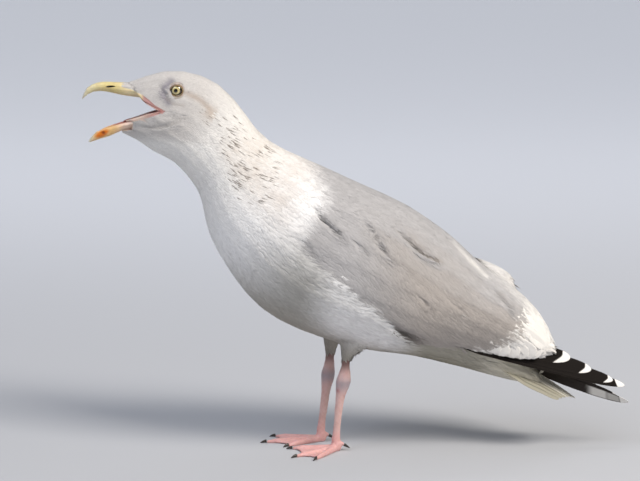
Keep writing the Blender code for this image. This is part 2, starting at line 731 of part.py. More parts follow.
def build():
    clear_scene()
    whole = body_tube("whole_body", BODY, BODY_RINGS, BODY_SEGMENTS)
    core = body_tube("core_body", CORE, CORE_RINGS, CORE_SEGMENTS)
    core_room = copy_of(core, "core_room", grow=GAP)
    tail_piece = tail()
    tail_room = copy_of(tail_piece, "tail_room", grow=GAP)
    vanes = {side: primaries(f"primaries_{label}", side) for side, label in SIDES.items()}
    for side, label in SIDES.items():
        wing = copy_of(whole, f"wing_{label}")
        wing.hide_render = False
        wing.display_type = "TEXTURED"
        wing.data.materials.append(material("grey_plumage"))
        space = wing_cutter("wing_space", side)
        boolean(wing, space, "INTERSECT")
        if side == RIGHT:
            ridge = bar("raised_tertials", [(Vector(c), w, h) for c, w, h in RAISED_TERTIALS], segments=10)
            boolean(wing, ridge, "UNION")
            remove(ridge)
        boolean(wing, core_room, "DIFFERENCE")
        vane_room = copy_of(vanes[side], "vane_room", grow=GAP)
        boolean(wing, vane_room, "DIFFERENCE")
        boolean(wing, tail_room, "DIFFERENCE")
        remove(space, vane_room)
    for side in SIDES:
        space = wing_cutter("wing_space", side, grow=GAP)
        boolean(whole, space, "DIFFERENCE")
        remove(space)
    boolean(whole, core, "UNION")
    for side in SIDES:
        vane_room = copy_of(vanes[side], "vane_room", grow=GAP)
        boolean(whole, vane_room, "DIFFERENCE")
        remove(vane_room)
    boolean(whole, tail_room, "DIFFERENCE")

    head = slice_of(whole, "head", None, HEAD_END, "white_plumage")
    slice_of(whole, "neck", HEAD_END, NECK_END, "white_plumage")
    trunk = slice_of(whole, "trunk", NECK_END, TRUNK_END, "white_plumage")
    drop_slivers(slice_of(whole, "tail_coverts", TRUNK_END, None, "white_plumage"))
    remove(whole, core, core_room, tail_room)

    bill_upper()
    bill_lower()
    tongue()
    finish_head(head, [eye("eye_left", LEFT), eye("eye_right", RIGHT)])

    trunk_room = copy_of(trunk, "trunk_room", grow=GAP)
    for side, label in SIDES.items():
        thigh = limb(f"thigh_{label}", THIGHS[side], "white_plumage", THIGH_RINGS, THIGH_SEGMENTS)
        boolean(thigh, trunk_room, "DIFFERENCE")
        limb(f"shank_{label}", SHANKS[side], "leg_skin", SHANK_RINGS, SHANK_SEGMENTS)
        foot(side, label)
    remove(trunk_room)
    centre_on_floor()


build()
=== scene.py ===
import json
import math
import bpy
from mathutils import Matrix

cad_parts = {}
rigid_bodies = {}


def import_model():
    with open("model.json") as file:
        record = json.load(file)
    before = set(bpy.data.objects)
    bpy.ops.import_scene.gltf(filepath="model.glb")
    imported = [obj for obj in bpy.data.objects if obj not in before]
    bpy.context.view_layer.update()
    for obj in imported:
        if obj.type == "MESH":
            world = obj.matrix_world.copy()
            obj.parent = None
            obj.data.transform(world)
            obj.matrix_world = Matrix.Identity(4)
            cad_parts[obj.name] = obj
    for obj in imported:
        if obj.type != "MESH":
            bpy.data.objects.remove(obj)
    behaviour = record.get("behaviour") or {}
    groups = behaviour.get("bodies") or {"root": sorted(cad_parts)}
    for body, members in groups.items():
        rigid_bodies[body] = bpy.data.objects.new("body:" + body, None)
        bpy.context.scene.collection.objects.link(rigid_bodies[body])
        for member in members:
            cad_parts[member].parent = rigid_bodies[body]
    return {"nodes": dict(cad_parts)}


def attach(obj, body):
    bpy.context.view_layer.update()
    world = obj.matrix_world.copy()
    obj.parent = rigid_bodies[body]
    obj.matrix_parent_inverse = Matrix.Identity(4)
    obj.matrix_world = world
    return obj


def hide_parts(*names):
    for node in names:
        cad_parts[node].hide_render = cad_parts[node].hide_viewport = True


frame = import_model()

from types import SimpleNamespace

import bmesh
import bpy
import numpy as np
from mathutils import Matrix, Vector
from mathutils.bvhtree import BVHTree
from mathutils.kdtree import KDTree

# Looks of a herring gull that stands and calls. Lengths are millimetres until meshes are made.
# The bird faces -X, its left side is -Y, and the floor is Z = 0. Lines and outlines are (x, z) from the side.

MM = 0.001
MERGE = 1e-5  # metres; only doubled points are this near
NODES = frame["nodes"]
RANDOM = np.random.default_rng(7)
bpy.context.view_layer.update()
SIDES = {-1: "left", 1: "right"}
BODY_FLESH = ("head", "neck", "trunk", "tail_coverts", "wing_left", "wing_right", "thigh_left", "thigh_right")
LEG_FLESH = ("shank_left", "shank_right", "foot_left", "foot_right")
LABELS = {name: number for number, name in enumerate(BODY_FLESH + LEG_FLESH)}
HEAD, NECK, TRUNK, COVERTS = 0, 1, 2, 3
WINGS, THIGHS, SHANKS, FEET = (4, 5), (6, 7), (8, 9), (10, 11)
LEGS = SHANKS + FEET

# The middle line of the body, from the bill's base to the end of the wings.
SPINE = (
    (-262, 372), (-240, 371.5), (-222, 369.5), (-205, 366), (-190, 361), (-175, 352), (-161, 339),
    (-149, 322), (-138, 304), (-126, 287), (-110, 269), (-86, 249), (-58, 229), (-28, 209), (4, 193),
    (36, 178), (68, 163), (100, 148), (132, 132), (164, 117), (196, 100), (232, 80),
)
# Where the grey of the back and wing begins, as an outline.
GREY_EDGE = (
    (-64, 330), (-62, 318), (-55, 300), (-47, 286), (-47, 276), (-60, 262), (-76, 240), (-66, 224),
    (-46, 208), (-20, 188), (4, 169), (18, 153), (32, 129), (64, 118.5), (110, 113), (160, 104),
    (205, 96), (250, 96), (250, 330),
)
# The mouth's edges: along the upper jaw to the corner and out along the lower jaw.
MOUTH_EDGE = (
    (-256, 384), (-232.9, 380.7), (-218.4, 373), (-210.6, 368.9), (-216.4, 367.2), (-226.4, 364.8),
    (-239.7, 360.4), (-262, 354.6),
)
# Skin without feathers, as outlines.
LOWER_JAW = (
    (-264, 360), (-239.7, 363), (-226.4, 367), (-212, 371), (-206, 369.5), (-212.9, 366), (-227.6, 360.9),
    (-242, 356.6), (-241.1, 349.2), (-250, 346.5), (-264, 345),
)
UPPER_JAW = (
    (-258, 379), (-232.9, 377), (-218.4, 369.5), (-209, 366.5), (-206, 369.2), (-209, 371),
    (-216.8, 375.2), (-223.2, 380.5), (-230, 385.4), (-236.2, 388), (-241.6, 390.6), (-258, 394),
)
# The white tips of the wing's inner feathers, at its rear end and lower edge, as an outline, and then a line
# of white along the shoulder.
WHITE_RIM = (
    (128, 206), (148, 189), (163, 175), (175, 162), (175, 152), (167, 140), (155, 129), (140, 121.5),
    (128, 117), (116, 114), (112, 100), (216, 100), (216, 150), (186, 178), (160, 198), (135, 214),
)
SHOULDER_LINE = ((80, 251), (94.8, 233.4), (103, 224.8), (113.7, 213.3), (124.4, 202.6), (129.7, 196.5))
# The raised sheaf of inner feathers of the right wing, which shows above the back.
RAISED = ((118, 216), (142, 216), (176, 184), (162, 168), (126, 194))
# Where the forehead's feathers run forward over the upper bill, as an outline.
WEDGE = (
    (-246, 403), (-250.4, 401.6), (-252.2, 397.5), (-253.4, 394), (-247.5, 392.4), (-241.6, 390.6),
    (-236, 388), (-232, 392),
)
# Hollows of the plumage: a line, its depth, half its width, how much painted shade darkens it.
FOLDS = (
    (((-52, 273), (-39.7, 259), (-27.1, 247.9), (-19, 241)), 3.2, 2.4, 0.62),
    (((6, 257), (15.1, 241.9), (24.5, 226.6), (33, 218)), 2.6, 2.3, 0.40),
    (((-8, 238), (0, 231), (7, 224)), 1.6, 1.8, 0.25),
    (((42, 245), (55.5, 231), (68.2, 221.3), (82, 213)), 3.2, 2.4, 0.60),
    (((62, 178), (74.3, 165.8)), 1.8, 1.8, 0.30),
    (((98, 170), (112, 158)), 1.4, 1.8, 0.20),
    (((-67, 241), (-56, 228), (-46, 219)), 0.8, 4.6, 0.22),
    (((24, 151), (40, 141), (62, 129)), 1.6, 4.6, 0.62),
    (((142, 182), (153.4, 168.7), (165, 155.5)), 1.8, 2.0, 0.25),
    (((-236, 352), (-222, 350.5), (-206, 353.5), (-190, 360)), 1.5, 2.0, 0.24),
    (((-204, 366.5), (-192, 362.5), (-180, 364)), 1.2, 1.8, 0.18),
    (((-212, 398), (-208.5, 390), (-204, 382), (-196, 377.5)), 1.0, 2.4, 0.10),
)
# Where the neck carries dark dashes, as an outline.
DASHED = (
    (-176, 404), (-140, 384), (-118, 352), (-92, 326), (-84, 306), (-94, 290), (-106, 276), (-124, 276),
    (-138, 290), (-146, 312), (-152, 336), (-164, 356), (-176, 380),
)
# Soft marks of the face: the buff stripe behind the eye, as a colour and as dark shafts, and painted shade
# before and below the eye.
BEHIND_EYE = ((-184, 388), (-172, 383), (-162, 374))
DARK_SHAFTS = ((-184, 388), (-170, 382), (-158, 370))
LORE = ((-203, 400), (-209.5, 394), (-211, 386), (-206, 379))
UNDER_EYE = ((-207, 382.5), (-200, 378), (-190, 377))
EAR = (-161, 368)

EYE = (-193.8, 15.6, 390.8)
EYE_RADIUS, EYE_FLATTENED = 7.2, 0.9
EYE_RIM = (8.0, 6.9)  # half length and half height of the bare ring round the eye
EYE_LOOKS = (-0.12, 0.99, 0.02)  # the way the pupil points, on the right side
# The plane of the upper bill's base: a point on it, and the way back from it.
BILL_TOP, BILL_PLANE = (-250.4, 402.0), (0.746, 0.666)
CHIN = (-240.0, 349.0)
SPINE_ROWS, SPINE_ROUNDS, CHUNK = 260, 12, 20000
FAR = 1e9

# The face's white is painted darker than the neck's, as shade.
SHADED_FACE_WHITE = "C9C5C2"
NECK_WHITE = "EFEDEA"
BREAST_WHITE = "F5F4F4"
# Painted shade on the lower front of the breast.
UNDERSIDE_SHADE = "B0AEA9"
# Painted shade on the belly.
BELLY_SHADE = "A9A49B"
# The wing's shadow, painted on the undertail.
VENT_SHADOW = "8C8672"
VENT_CREAM = "CFC9B8"
NAPE_BUFF = "C9BBAE"
EAR_BUFF = "B09C8A"
TEMPLE_BUFF = "AD9B8C"
# Painted shade before the eye.
LORE_SHADE = "7E7A85"
# Painted shade below the eye.
UNDER_EYE_SHADE = "A39A93"
MANTLE_GREY = "B1AFB0"
WING_GREY = "ACA5A0"
WING_SHADE = "5F564F"
TIP_WHITE = "F6F3EF"
STREAK_BROWN = "5F4E3F"
GAPE_PINK = "BF8E88"
JAW_CREAM = "E3CDBE"
JAW_ROSE = "D9A7A0"
JAW_EDGE = "8B5F59"
JAW_YELLOW = "E6D6A8"
MOUTH_LINE = "6E3A35"
MOUTH_PINK = "8E4A44"
EYE_SKIN = "A99C92"
LEG_PINK = "DDBAB5"
# Painted shade on the upper legs, under the body.
TIBIA_SHADE = "836560"
FOOT_PINK = "E3AFAC"
ANKLE_GREY = "9A98A4"
ANKLE_RED = "A8463B"
LEG_ROSE = "C9928B"
FOLD_PALE = "D8B3A4"
FOLD_PINK = "C98F88"
FOLD_DARK = "5E2C28"
QUILL_BLACK = "1C1816"
QUILL_UNDER = "37322F"
QUILL_EDGE = "3C3734"
MIRROR_WHITE = "F0EDE8"
MIRROR_PALE = "D3D0CB"
# The tail's white, painted a little darker as shade, and its lower feathers painted darker still as shade.
SHADED_TAIL_WHITE = "D2CEC2"
TAIL_LOWER_SHADE = "A5A192"
TAIL_END = "BDB7AB"
HORN_YELLOW = "DDCB8E"
HORN_PALE = "E9DDB0"
HORN_TIP = "E8E2CF"
# Pale horn at the bill's base, painted lighter still as light over the base's shade.
LIT_HORN_BASE = "ECDDB6"
# The nostril's slit, painted dark as the shade inside it.
NOSTRIL_SHADE = "241B17"
CHIN_YELLOW = "EEC386"
CHIN_PINK = "E8CDBE"
CHIN_TIP = "EDE3C6"
SPOT_ORANGE = "E07A18"
SPOT_BROWN = "7A3010"
CUTTING_EDGE = "9E5A50"
IRIS = "BFAF74"
IRIS_PALE = "DCCF9C"
IRIS_EDGE = "8F8255"
EYE_BROWN = "2B2018"
PUPIL = "0A0605"
CLAW_BLACK = "3A332F"
TONGUE_PINK = "B4736C"
FLOOR_GREY = "BDBFC4"
STUDIO_WHITE = "E4E7EC"


def linear(code):
    """A colour written as sRGB hex, as linear red, green and blue."""
    parts = np.array([int(code[i : i + 2], 16) / 255 for i in (0, 2, 4)])
    return np.where(parts <= 0.04045, parts / 12.92, ((parts + 0.055) / 1.055) ** 2.4)


def painted(base, *layers):
    """Colours in rows: a base with layers laid over it in turn, each a colour and its share of every row."""
    if isinstance(base, str):
        base = np.tile(linear(base), (len(layers[0][1]), 1))
    for colour, share in layers:
        colour = linear(colour) if isinstance(colour, str) else colour
        base = base + (colour - base) * np.clip(share, 0, 1)[:, None]
    return base


def step(value, low, high):
    """0 up to low, 1 from high on, and smooth between."""
    t = np.clip((value - low) / (high - low), 0, 1)
    return t * t * (3 - 2 * t)


def until(value, low, high):
    """1 up to low, 0 from high on."""
    return 1 - step(value, low, high)


def peak(gap, width):
    """1 where gap is 0, and fading out over width to both sides."""
    return np.exp(-((gap / width) ** 2))


def unit(rows):
    return rows / np.maximum(np.linalg.norm(rows, axis=1, keepdims=True), 1e-9)


def between(rows):
    """Each inner row of a line, evened out with its two neighbours."""
    return (rows[:-2] + 2 * rows[1:-1] + rows[2:]) / 4


def spread_noise(points, size):
    """Smooth numbers between -1 and 1 over space, with patches of about size."""
    p = points / size
    waves = np.zeros(len(p))
    for k in range(5):
        way = np.array([math.sin(3.1 * k + 1), math.cos(2.3 * k), math.sin(1.7 * k + 2)])
        waves += np.sin(p @ way * (2.1 + 0.7 * k) + 4.0 * np.sin(p @ way[::-1] * 1.3 + k))
    return waves / 3.2


def inside(outline, x, z):
    """How far inside a closed outline each point lies: positive inside, negative outside."""
    best = np.full(len(x), FAR)
    within = np.zeros(len(x), bool)
    for (ax, az), (bx, bz) in zip(outline, outline[1:] + outline[:1]):
        ex, ez = bx - ax, bz - az
        t = np.clip(((x - ax) * ex + (z - az) * ez) / (ex * ex + ez * ez), 0, 1)
        best = np.minimum(best, np.hypot(x - ax - t * ex, z - az - t * ez))
        crosses = (az > z) != (bz > z)
        within ^= crosses & (x < ax + (z - az) * ex / (ez if ez else 1e-9))
    return np.where(within, best, -best)


def line_gap(line, x, z):
    """Distance to an open line, and the share of its length where the nearest place is."""
    line = np.array(line, float)
    steps = np.hypot(*np.diff(line, axis=0).T)
    best, place, done = np.full(len(x), FAR), np.zeros(len(x)), 0.0
    for (ax, az), (bx, bz), size in zip(line[:-1], line[1:], steps):
        t = np.clip(((x - ax) * (bx - ax) + (z - az) * (bz - az)) / size**2, 0, 1)
        gap = np.hypot(x - ax - t * (bx - ax), z - az - t * (bz - az))
        place = np.where(gap < best, done + t * size, place)
        best = np.minimum(best, gap)
        done += size
    return best, place / steps.sum()


def folds(points, normals):
    """Depth of the plumage's hollows at each point, and how much painted shade darkens it."""
    x, _, z = points.T
    depth, shade = np.zeros(len(x)), np.zeros(len(x))
    for line, deep, wide, dark in FOLDS:
        gap, share = line_gap(line, x + 0.9 * np.sin(z / 2.7), z)
        shape = peak(gap, wide) * np.sqrt(np.sin(math.pi * np.clip(share, 0.02, 0.98)))
        shape = shape * step(np.abs(normals[:, 1]), 0.15, 0.5)
        depth = np.maximum(depth, deep * shape)
        shade = np.maximum(shade, dark * shape**1.5)
    return depth, shade


def fine_spine():
    """Lengths along the body's middle line, its points and its way there, in small even steps."""
    rows = np.array(SPINE, float)
    along = np.concatenate([[0], np.cumsum(np.hypot(*np.diff(rows, axis=0).T))])
    fine = np.linspace(0, along[-1], SPINE_ROWS)
    curve = np.stack([np.interp(fine, along, rows[:, k]) for k in (0, 1)], axis=1)
    for _ in range(SPINE_ROUNDS):
        curve[1:-1] = between(curve)
    return fine, curve, unit(np.gradient(curve, axis=0))


SPINE_S, SPINE_AT, SPINE_WAY = fine_spine()


def on_body(points):
    """Each point's place along the body, its turn round it (0 on the back), and the body's way there."""
    found = np.empty(len(points), int)
    for start in range(0, len(points), CHUNK):
        part = points[start : start + CHUNK, [0, 2]]
        gap = ((part[:, None, :] - SPINE_AT[None]) ** 2).sum(axis=2)
        found[start : start + CHUNK] = gap.argmin(axis=1)
    way = SPINE_WAY[found]
    away = points[:, [0, 2]] - SPINE_AT[found]
    height = away[:, 1] * way[:, 0] - away[:, 0] * way[:, 1]
    along = SPINE_S[found] + (away * way).sum(axis=1)
    return along, np.arctan2(points[:, 1], height), np.stack([way[:, 0], 0 * height, way[:, 1]], axis=1)


def riding(obj, nodes=()):
    """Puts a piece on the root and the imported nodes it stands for."""
    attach(obj, "root")
    if nodes:
        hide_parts(*nodes)
    return obj


def linked(name, mesh):
    obj = bpy.data.objects.new(name, mesh)
    bpy.context.scene.collection.objects.link(obj)
    return obj


def dress(mesh, looks, colours=None, uv=None):
    """Gives a mesh its material, its painted colours, per point, and its map, per corner."""
    mesh.materials.clear()
    mesh.materials.append(looks)
    mesh.shade_smooth()
    while mesh.uv_layers:
        mesh.uv_layers.remove(mesh.uv_layers[0])
    if colours is not None:
        layer = mesh.color_attributes.new("Markings", "FLOAT_COLOR", "POINT")
        rgba = np.ones((len(colours), 4), np.float32)
        rgba[:, :3] = colours
        layer.data.foreach_set("color", rgba.ravel())
    if uv is not None:
        mesh.uv_layers.new(name="OFBake").data.foreach_set("uv", uv.astype(np.float32).ravel())


def mesh_object(name, points, faces, looks, colours, uv, normals=None):
    """An object from arrays; colours, map and normals are per point."""
    mesh = bpy.data.meshes.new(name)
    mesh.vertices.add(len(points))
    mesh.vertices.foreach_set("co", (points * MM).astype(np.float32).ravel())
    mesh.loops.add(faces.size)
    mesh.loops.foreach_set("vertex_index", faces.astype(np.int32).ravel())
    mesh.polygons.add(len(faces))
    mesh.polygons.foreach_set("loop_start", np.arange(0, faces.size, faces.shape[1], dtype=np.int32))
    mesh.update(calc_edges=True)
    dress(mesh, looks, colours, uv[faces.ravel()])
    if normals is not None:
        mesh.normals_split_custom_set_from_vertices(normals.astype(np.float32))
    return linked(name, mesh)


def arrays_of(mesh):
    """A mesh's points and their normals, in rows."""
    rows = []
    for key in ("co", "normal"):
        flat = np.empty(len(mesh.vertices) * 3, np.float32)
        mesh.vertices.foreach_get(key, flat)
        rows.append(flat.reshape(-1, 3).astype(float))
    return rows[0] / MM, rows[1]


def moved_to(mesh, points):
    mesh.vertices.foreach_set("co", (points * MM).astype(np.float32).ravel())
    mesh.update()


def modified(obj, *settings):
    """Applies modifiers, each given as its type and its values, and keeps the result as obj's mesh."""
    for number, (kind, values) in enumerate(settings):
        modifier = obj.modifiers.new(f"step_{number}", kind)
        for key, value in values.items():
            setattr(modifier, key, value)
    made = bpy.data.meshes.new_from_object(obj.evaluated_get(bpy.context.evaluated_depsgraph_get()))
    obj.modifiers.clear()
    old, obj.data = obj.data, made
    bpy.data.meshes.remove(old)
    return obj


def solid_copy(name, nodes, voxel, grow, soften, plug=None):
    """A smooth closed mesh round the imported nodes, made on a fine grid. plug is a block added inside."""
    bm = bmesh.new()
    for part in nodes:
        bm.from_mesh(NODES[part].data)
    bmesh.ops.triangulate(bm, faces=bm.faces)
    if plug is not None:
        middle, half = plug
        place = Matrix.Translation(Vector(middle) * MM) @ Matrix.Diagonal(Vector(half) * 2 * MM).to_4x4()
        bmesh.ops.create_cube(bm, size=1.0, matrix=place)
    bmesh.ops.remove_doubles(bm, verts=bm.verts, dist=MERGE)
    mesh = bpy.data.meshes.new(name)
    bm.to_mesh(mesh)
    bm.free()
    return modified(
        linked(name, mesh),
        ("DISPLACE", {"strength": grow * MM, "mid_level": 0.0}),
        ("REMESH", {"mode": "VOXEL", "voxel_size": voxel * MM, "use_smooth_shade": True}),
        ("SMOOTH", {"iterations": soften, "factor": 0.5}),
    )


def nearest_label(points):
    """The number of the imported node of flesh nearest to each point."""
    best, label = np.full(len(points), FAR), np.zeros(len(points), int)
    for name, number in LABELS.items():
        mesh = NODES[name].data
        corners = [v.co / MM for v in mesh.vertices]
        low, high = np.min(corners, axis=0) - LABEL_REACH, np.max(corners, axis=0) + LABEL_REACH
        tree = BVHTree.FromPolygons(corners, [p.vertices[:] for p in mesh.polygons])
        for i in np.where(((points > low) & (points < high)).all(axis=1))[0]:
            found = tree.find_nearest(points[i], best[i])
            if found[0] is not None and found[3] < best[i]:
                best[i], label[i] = found[3], number
    return label


def averaged(values, edges, rounds):
    """Values per point, evened out along the mesh's edges."""
    count = np.bincount(edges.ravel(), minlength=len(values)).astype(float)
    for _ in range(rounds):
        near = np.bincount(edges[:, 0], values[edges[:, 1]], len(values))
        near += np.bincount(edges[:, 1], values[edges[:, 0]], len(values))
        values = 0.5 * values + 0.5 * near / np.maximum(count, 1)
    return values


def mouth_gap(points):
    """Millimetres from the mouth's edge on the outside of the face; below 0 inside the open mouth."""
    return -inside(MOUTH_EDGE, points[:, 0], points[:, 2])


def behind_bill(points):
    """Distance behind the plane of the upper bill's base."""
    return BILL_PLANE[0] * (points[:, 0] - BILL_TOP[0]) + BILL_PLANE[1] * (points[:, 2] - BILL_TOP[1])


def bill_gap(points):
    """Millimetres from the mouth's edge or from where either half of the bill comes out of the feathers."""
    chin = np.hypot(np.maximum(points[:, 0] - CHIN[0], 0), points[:, 2] - CHIN[1])
    return np.minimum(np.minimum(mouth_gap(points), np.abs(behind_bill(points))), chin)


def eye_gap(points):
    """Distance from the eye's middle, as a share of the bare rim's size."""
    return np.hypot((points[:, 0] - EYE[0]) / EYE_RIM[0], (points[:, 2] - EYE[2]) / EYE_RIM[1])


def throat(points):
    """1 on the back wall of the open mouth, between the cheeks."""
    x, y, z = points.T
    return (np.abs(y) < 7.5) * (x < -196) * (z > 356) * (z < 383)


def bare(points, label):
    """1 on skin without feathers, 0 under the coat."""
    mouth = np.maximum(until(mouth_gap(points), 0.2, 0.8), throat(points))
    for outline in (LOWER_JAW, UPPER_JAW):
        mouth = np.maximum(mouth, step(inside(outline, points[:, 0], points[:, 2]), -0.5, 0.3))
    rim = until(eye_gap(points), 1.04, 1.18)
    return np.maximum(np.where(label == HEAD, np.maximum(mouth, rim), 0), np.isin(label, LEGS))


def plumage_colour(points, normals, label, jitter):
    """Colours of feathers rooted at points. jitter moves the borders by a few millimetres."""
    x, y, z = points.T
    along, turn, _ = on_body(points)
    turn = np.abs(turn)
    head = label == HEAD
    patches = 0.7 + 0.3 * spread_noise(points, 9.0)

    def along_line(line, width):
        return peak(line_gap(line, x, z)[0], width)

    breast = step(along, 190, 285)
    nape = step(along, 95, 140) * until(along, 205, 245) * until(turn, 1.2, 1.9)
    colour = painted(
        # the face's white, painted darker as shade
        SHADED_FACE_WHITE,
        (NECK_WHITE, np.maximum(step(along, 70, 125), until(z, 332, 348))),
        (BREAST_WHITE, step(along, 150, 210)),
        # painted shade on the lower front of the breast
        (UNDERSIDE_SHADE, step(turn, 1.1, 2.0) * breast * until(x, -75, -25)),
        # painted shade on the belly
        (BELLY_SHADE, step(turn, 2.3, 2.9) * breast * until(x, 100, 140)),
        # the wing's shadow, painted on the undertail
        (VENT_SHADOW, 0.8 * step(turn, 1.35, 2.1) * step(x, 20, 60) * until(x, 115, 170)),
        (VENT_CREAM, step(turn, 1.2, 1.9) * step(x, 105, 150)),
        (NAPE_BUFF, 0.5 * nape * patches),
        (EAR_BUFF, 0.7 * peak(x - EAR[0], 8) * peak(z - EAR[1], 7) * head * patches),
        (TEMPLE_BUFF, 0.6 * along_line(BEHIND_EYE, 3.0) * head),
        # painted shade before the eye
        (LORE_SHADE, 0.78 * along_line(LORE, 4.3) * head),
        # painted shade below the eye
        (UNDER_EYE_SHADE, 0.4 * along_line(UNDER_EYE, 1.8) * head),
    )
    wing = painted(WING_GREY, (MANTLE_GREY, np.maximum(step(normals[:, 2], 0.15, 0.75), until(x, -20, 70))))
    wing = wing * (1 + 0.05 * spread_noise(points + 50, 16.0))[:, None]
    tips = step(inside(WHITE_RIM, x + 1.8 * jitter, z - jitter), -7.0, 6.0) * (1 - 0.45 * step(z, 150, 178))
    shoulder = 0.6 * along_line(SHOULDER_LINE, 2.0) * step(x, 78, 122) * step(np.abs(y), 4, 8)
    raised = 0.5 * step(inside(RAISED, x, z), -3, 3) * step(y, 3, 6)
    under = peak(x - 42, 17) * peak(z - 137 + 0.55 * (x - 42), 8) * np.isin(label, WINGS)
    white = np.maximum(np.maximum(tips, shoulder), raised)
    wing = painted(wing, (WING_SHADE, 0.6 * under), (TIP_WHITE, white))
    soft = step(z, 222, 262)
    grey = step(inside(GREY_EDGE, x + jitter, z + 0.6 * jitter), -3 - 5.4 * soft, 5 + 11.7 * soft)
    over = np.isin(label, WINGS) | ((label == TRUNK) & (z > 150)) | (label == NECK)
    # the hollows of the plumage darkened with painted shade
    return painted(colour, (wing, grey * over)) * (1 - folds(points, normals)[1])[:, None]


def bare_colour(points, label):
    """Colours of bare skin: the mouth's edge and inside, the rim of the eye, the legs and the feet."""
    x, y, z = points.T
    gape = mouth_gap(points)
    upper = z > 368.5
    face = painted(
        GAPE_PINK,
        (JAW_CREAM, until(x, -236, -214) * (z < 368)),
        (JAW_ROSE, step(x, -226, -216) * until(z, 366.5, 368)),
        (JAW_EDGE, 0.6 * until(inside(UPPER_JAW, x, z), 0.4, 1.4) * upper),
        (JAW_YELLOW, until(x, -233, -228) * step(z, 373, 377)),
        (MOUTH_LINE, until(gape, 0.2, 1.3) * upper * step(x, -232, -226)),
        (MOUTH_PINK, np.maximum(step(-gape, 0.6, 3.0), throat(points))),
        (EYE_SKIN, until(eye_gap(points), 1.2, 1.5) * (label == HEAD)),
    )
    leg = painted(
        LEG_PINK,
        (FOOT_PINK, until(z, 12, 30)),
        # painted shade on the upper legs, under the body
        (TIBIA_SHADE, step(z, 84, 98)),
        (ANKLE_RED, 0.8 * peak(x + 22.5, 1.7) * peak(z - 67.5, 2.2) * (y < 0)),
        (ANKLE_GREY, 0.7 * peak(z - 74, 7)),
        (LEG_ROSE, 0.4 * np.clip(spread_noise(points, 5.0), 0, 1)),
    )
    return np.where(np.isin(label, LEGS)[:, None], leg, face)


def body_uv(points):
    """Places on an unwrap of the body's own shape: round it across, along it upwards."""
    along, turn, _ = on_body(points)
    return np.stack([0.5 + turn / (2 * math.pi), 0.01 + 0.78 * along / SPINE_S[-1]], axis=1)


# Each shank's number, its place across the map, and its middle on the floor (x, y).
SHANK_MAPS = ((8, 0.02, (-14.0, -23.3)), (9, 0.52, (-34.0, 23.3)))
MAP_SCALE = 0.0016  # of the mouth and the shanks; the feet have less


def skin_uv(points, normals, label, faces):
    """The unwrap for every corner of the skin. Legs, soles and the mouth have places of their own."""
    flat = body_uv(points)
    x, y, z = points.T
    for number, low, (cx, cy) in SHANK_MAPS:
        leg = label == number
        turn = np.arctan2(y - cy, x - cx - np.interp(z, (10, 100), (-8, 6)))[leg]
        flat[leg] = np.stack([low + 0.2 * (0.5 + turn / (2 * math.pi)), 0.82 + MAP_SCALE * z[leg]], axis=1)
    foot = np.isin(label, FEET)
    across = 0.26 + 0.5 * (y > 0) + 0.001 * (x + 110) + 0.12 * (normals[:, 2] < 0)
    flat[foot] = np.stack([across, 0.9 + 0.0009 * y], axis=1)[foot]
    mouth = (label == HEAD) & (mouth_gap(points) < -1.0)
    flat[mouth] = np.stack([0.8 + MAP_SCALE * (x + 262), 0.86 + MAP_SCALE * y], axis=1)[mouth]
    corners = flat[faces.ravel()].reshape(len(faces), -1, 2)
    across = corners[:, :, 0]
    split = (across.max(axis=1) - across.min(axis=1) > 0.5) & ~np.isin(label[faces[:, 0]], LEGS)
    across[split] = np.where(across[split] < 0.5, 1.0, across[split])
    return corners.reshape(-1, 2)


def refine_face(mesh):
    """Gives the skin finer faces round the eyes and the mouth."""
    bm = bmesh.new()
    bm.from_mesh(mesh)
    for _ in range(2):
        at = np.array([v.co for v in bm.verts]) / MM
        near = (mouth_gap(at) < 7) | (eye_gap(at) < 1.9) | (bill_gap(at) < 5)
        near &= (at[:, 0] < -170) & (at[:, 2] > 335)
        bm.verts.ensure_lookup_table()
        chosen = [e for e in bm.edges if near[[v.index for v in e.verts]].all() and e.calc_length() > MM]
        bmesh.ops.subdivide_edges(bm, edges=chosen, cuts=1)
        bmesh.ops.triangulate(bm, faces=[f for f in bm.faces if len(f.verts) > 3])
        bm.verts.index_update()
    bm.to_mesh(mesh)
    bm.free()


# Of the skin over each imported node, in the order of LABELS: the gap between tufts, their length, the lift of
# their tips, how deep the skin lies, and how much the tufts part into clumps.
#                     head  neck  trunk coverts wings     thighs    legs
TUFT_GAP = np.array((1.15, 1.6, 2.1, 2.3, 2.05, 2.05, 1.6, 1.6, 3, 3, 3, 3))
TUFT_LENGTH = np.array((6.2, 8.5, 12.0, 19.0, 15.0, 15.0, 7.0, 7.0, 8, 8, 8, 8))
TUFT_LIFT = np.array((0.10, 0.26, 0.30, 0.5, 0.26, 0.26, 0.28, 0.28, 1, 1, 1, 1))
COAT_DEPTH = np.array((0.5, 0.8, 1.1, 1.3, 0.8, 0.8, 0.8, 0.8, 0, 0, 0, 0))
CLUMP = np.array((0.15, 0.4, 1.2, 0.8, 0.5, 0.5, 0.4, 0.4, 0, 0, 0, 0))
LABEL_REACH = 6.0
SKIN_VOXEL, SKIN_GROWN, SKIN_KEPT = 1.0, 0.3, 0.24
ROUNDING, ROUNDS, LEVELS = "round", 90, 10  # the body is evened out where its solids meet


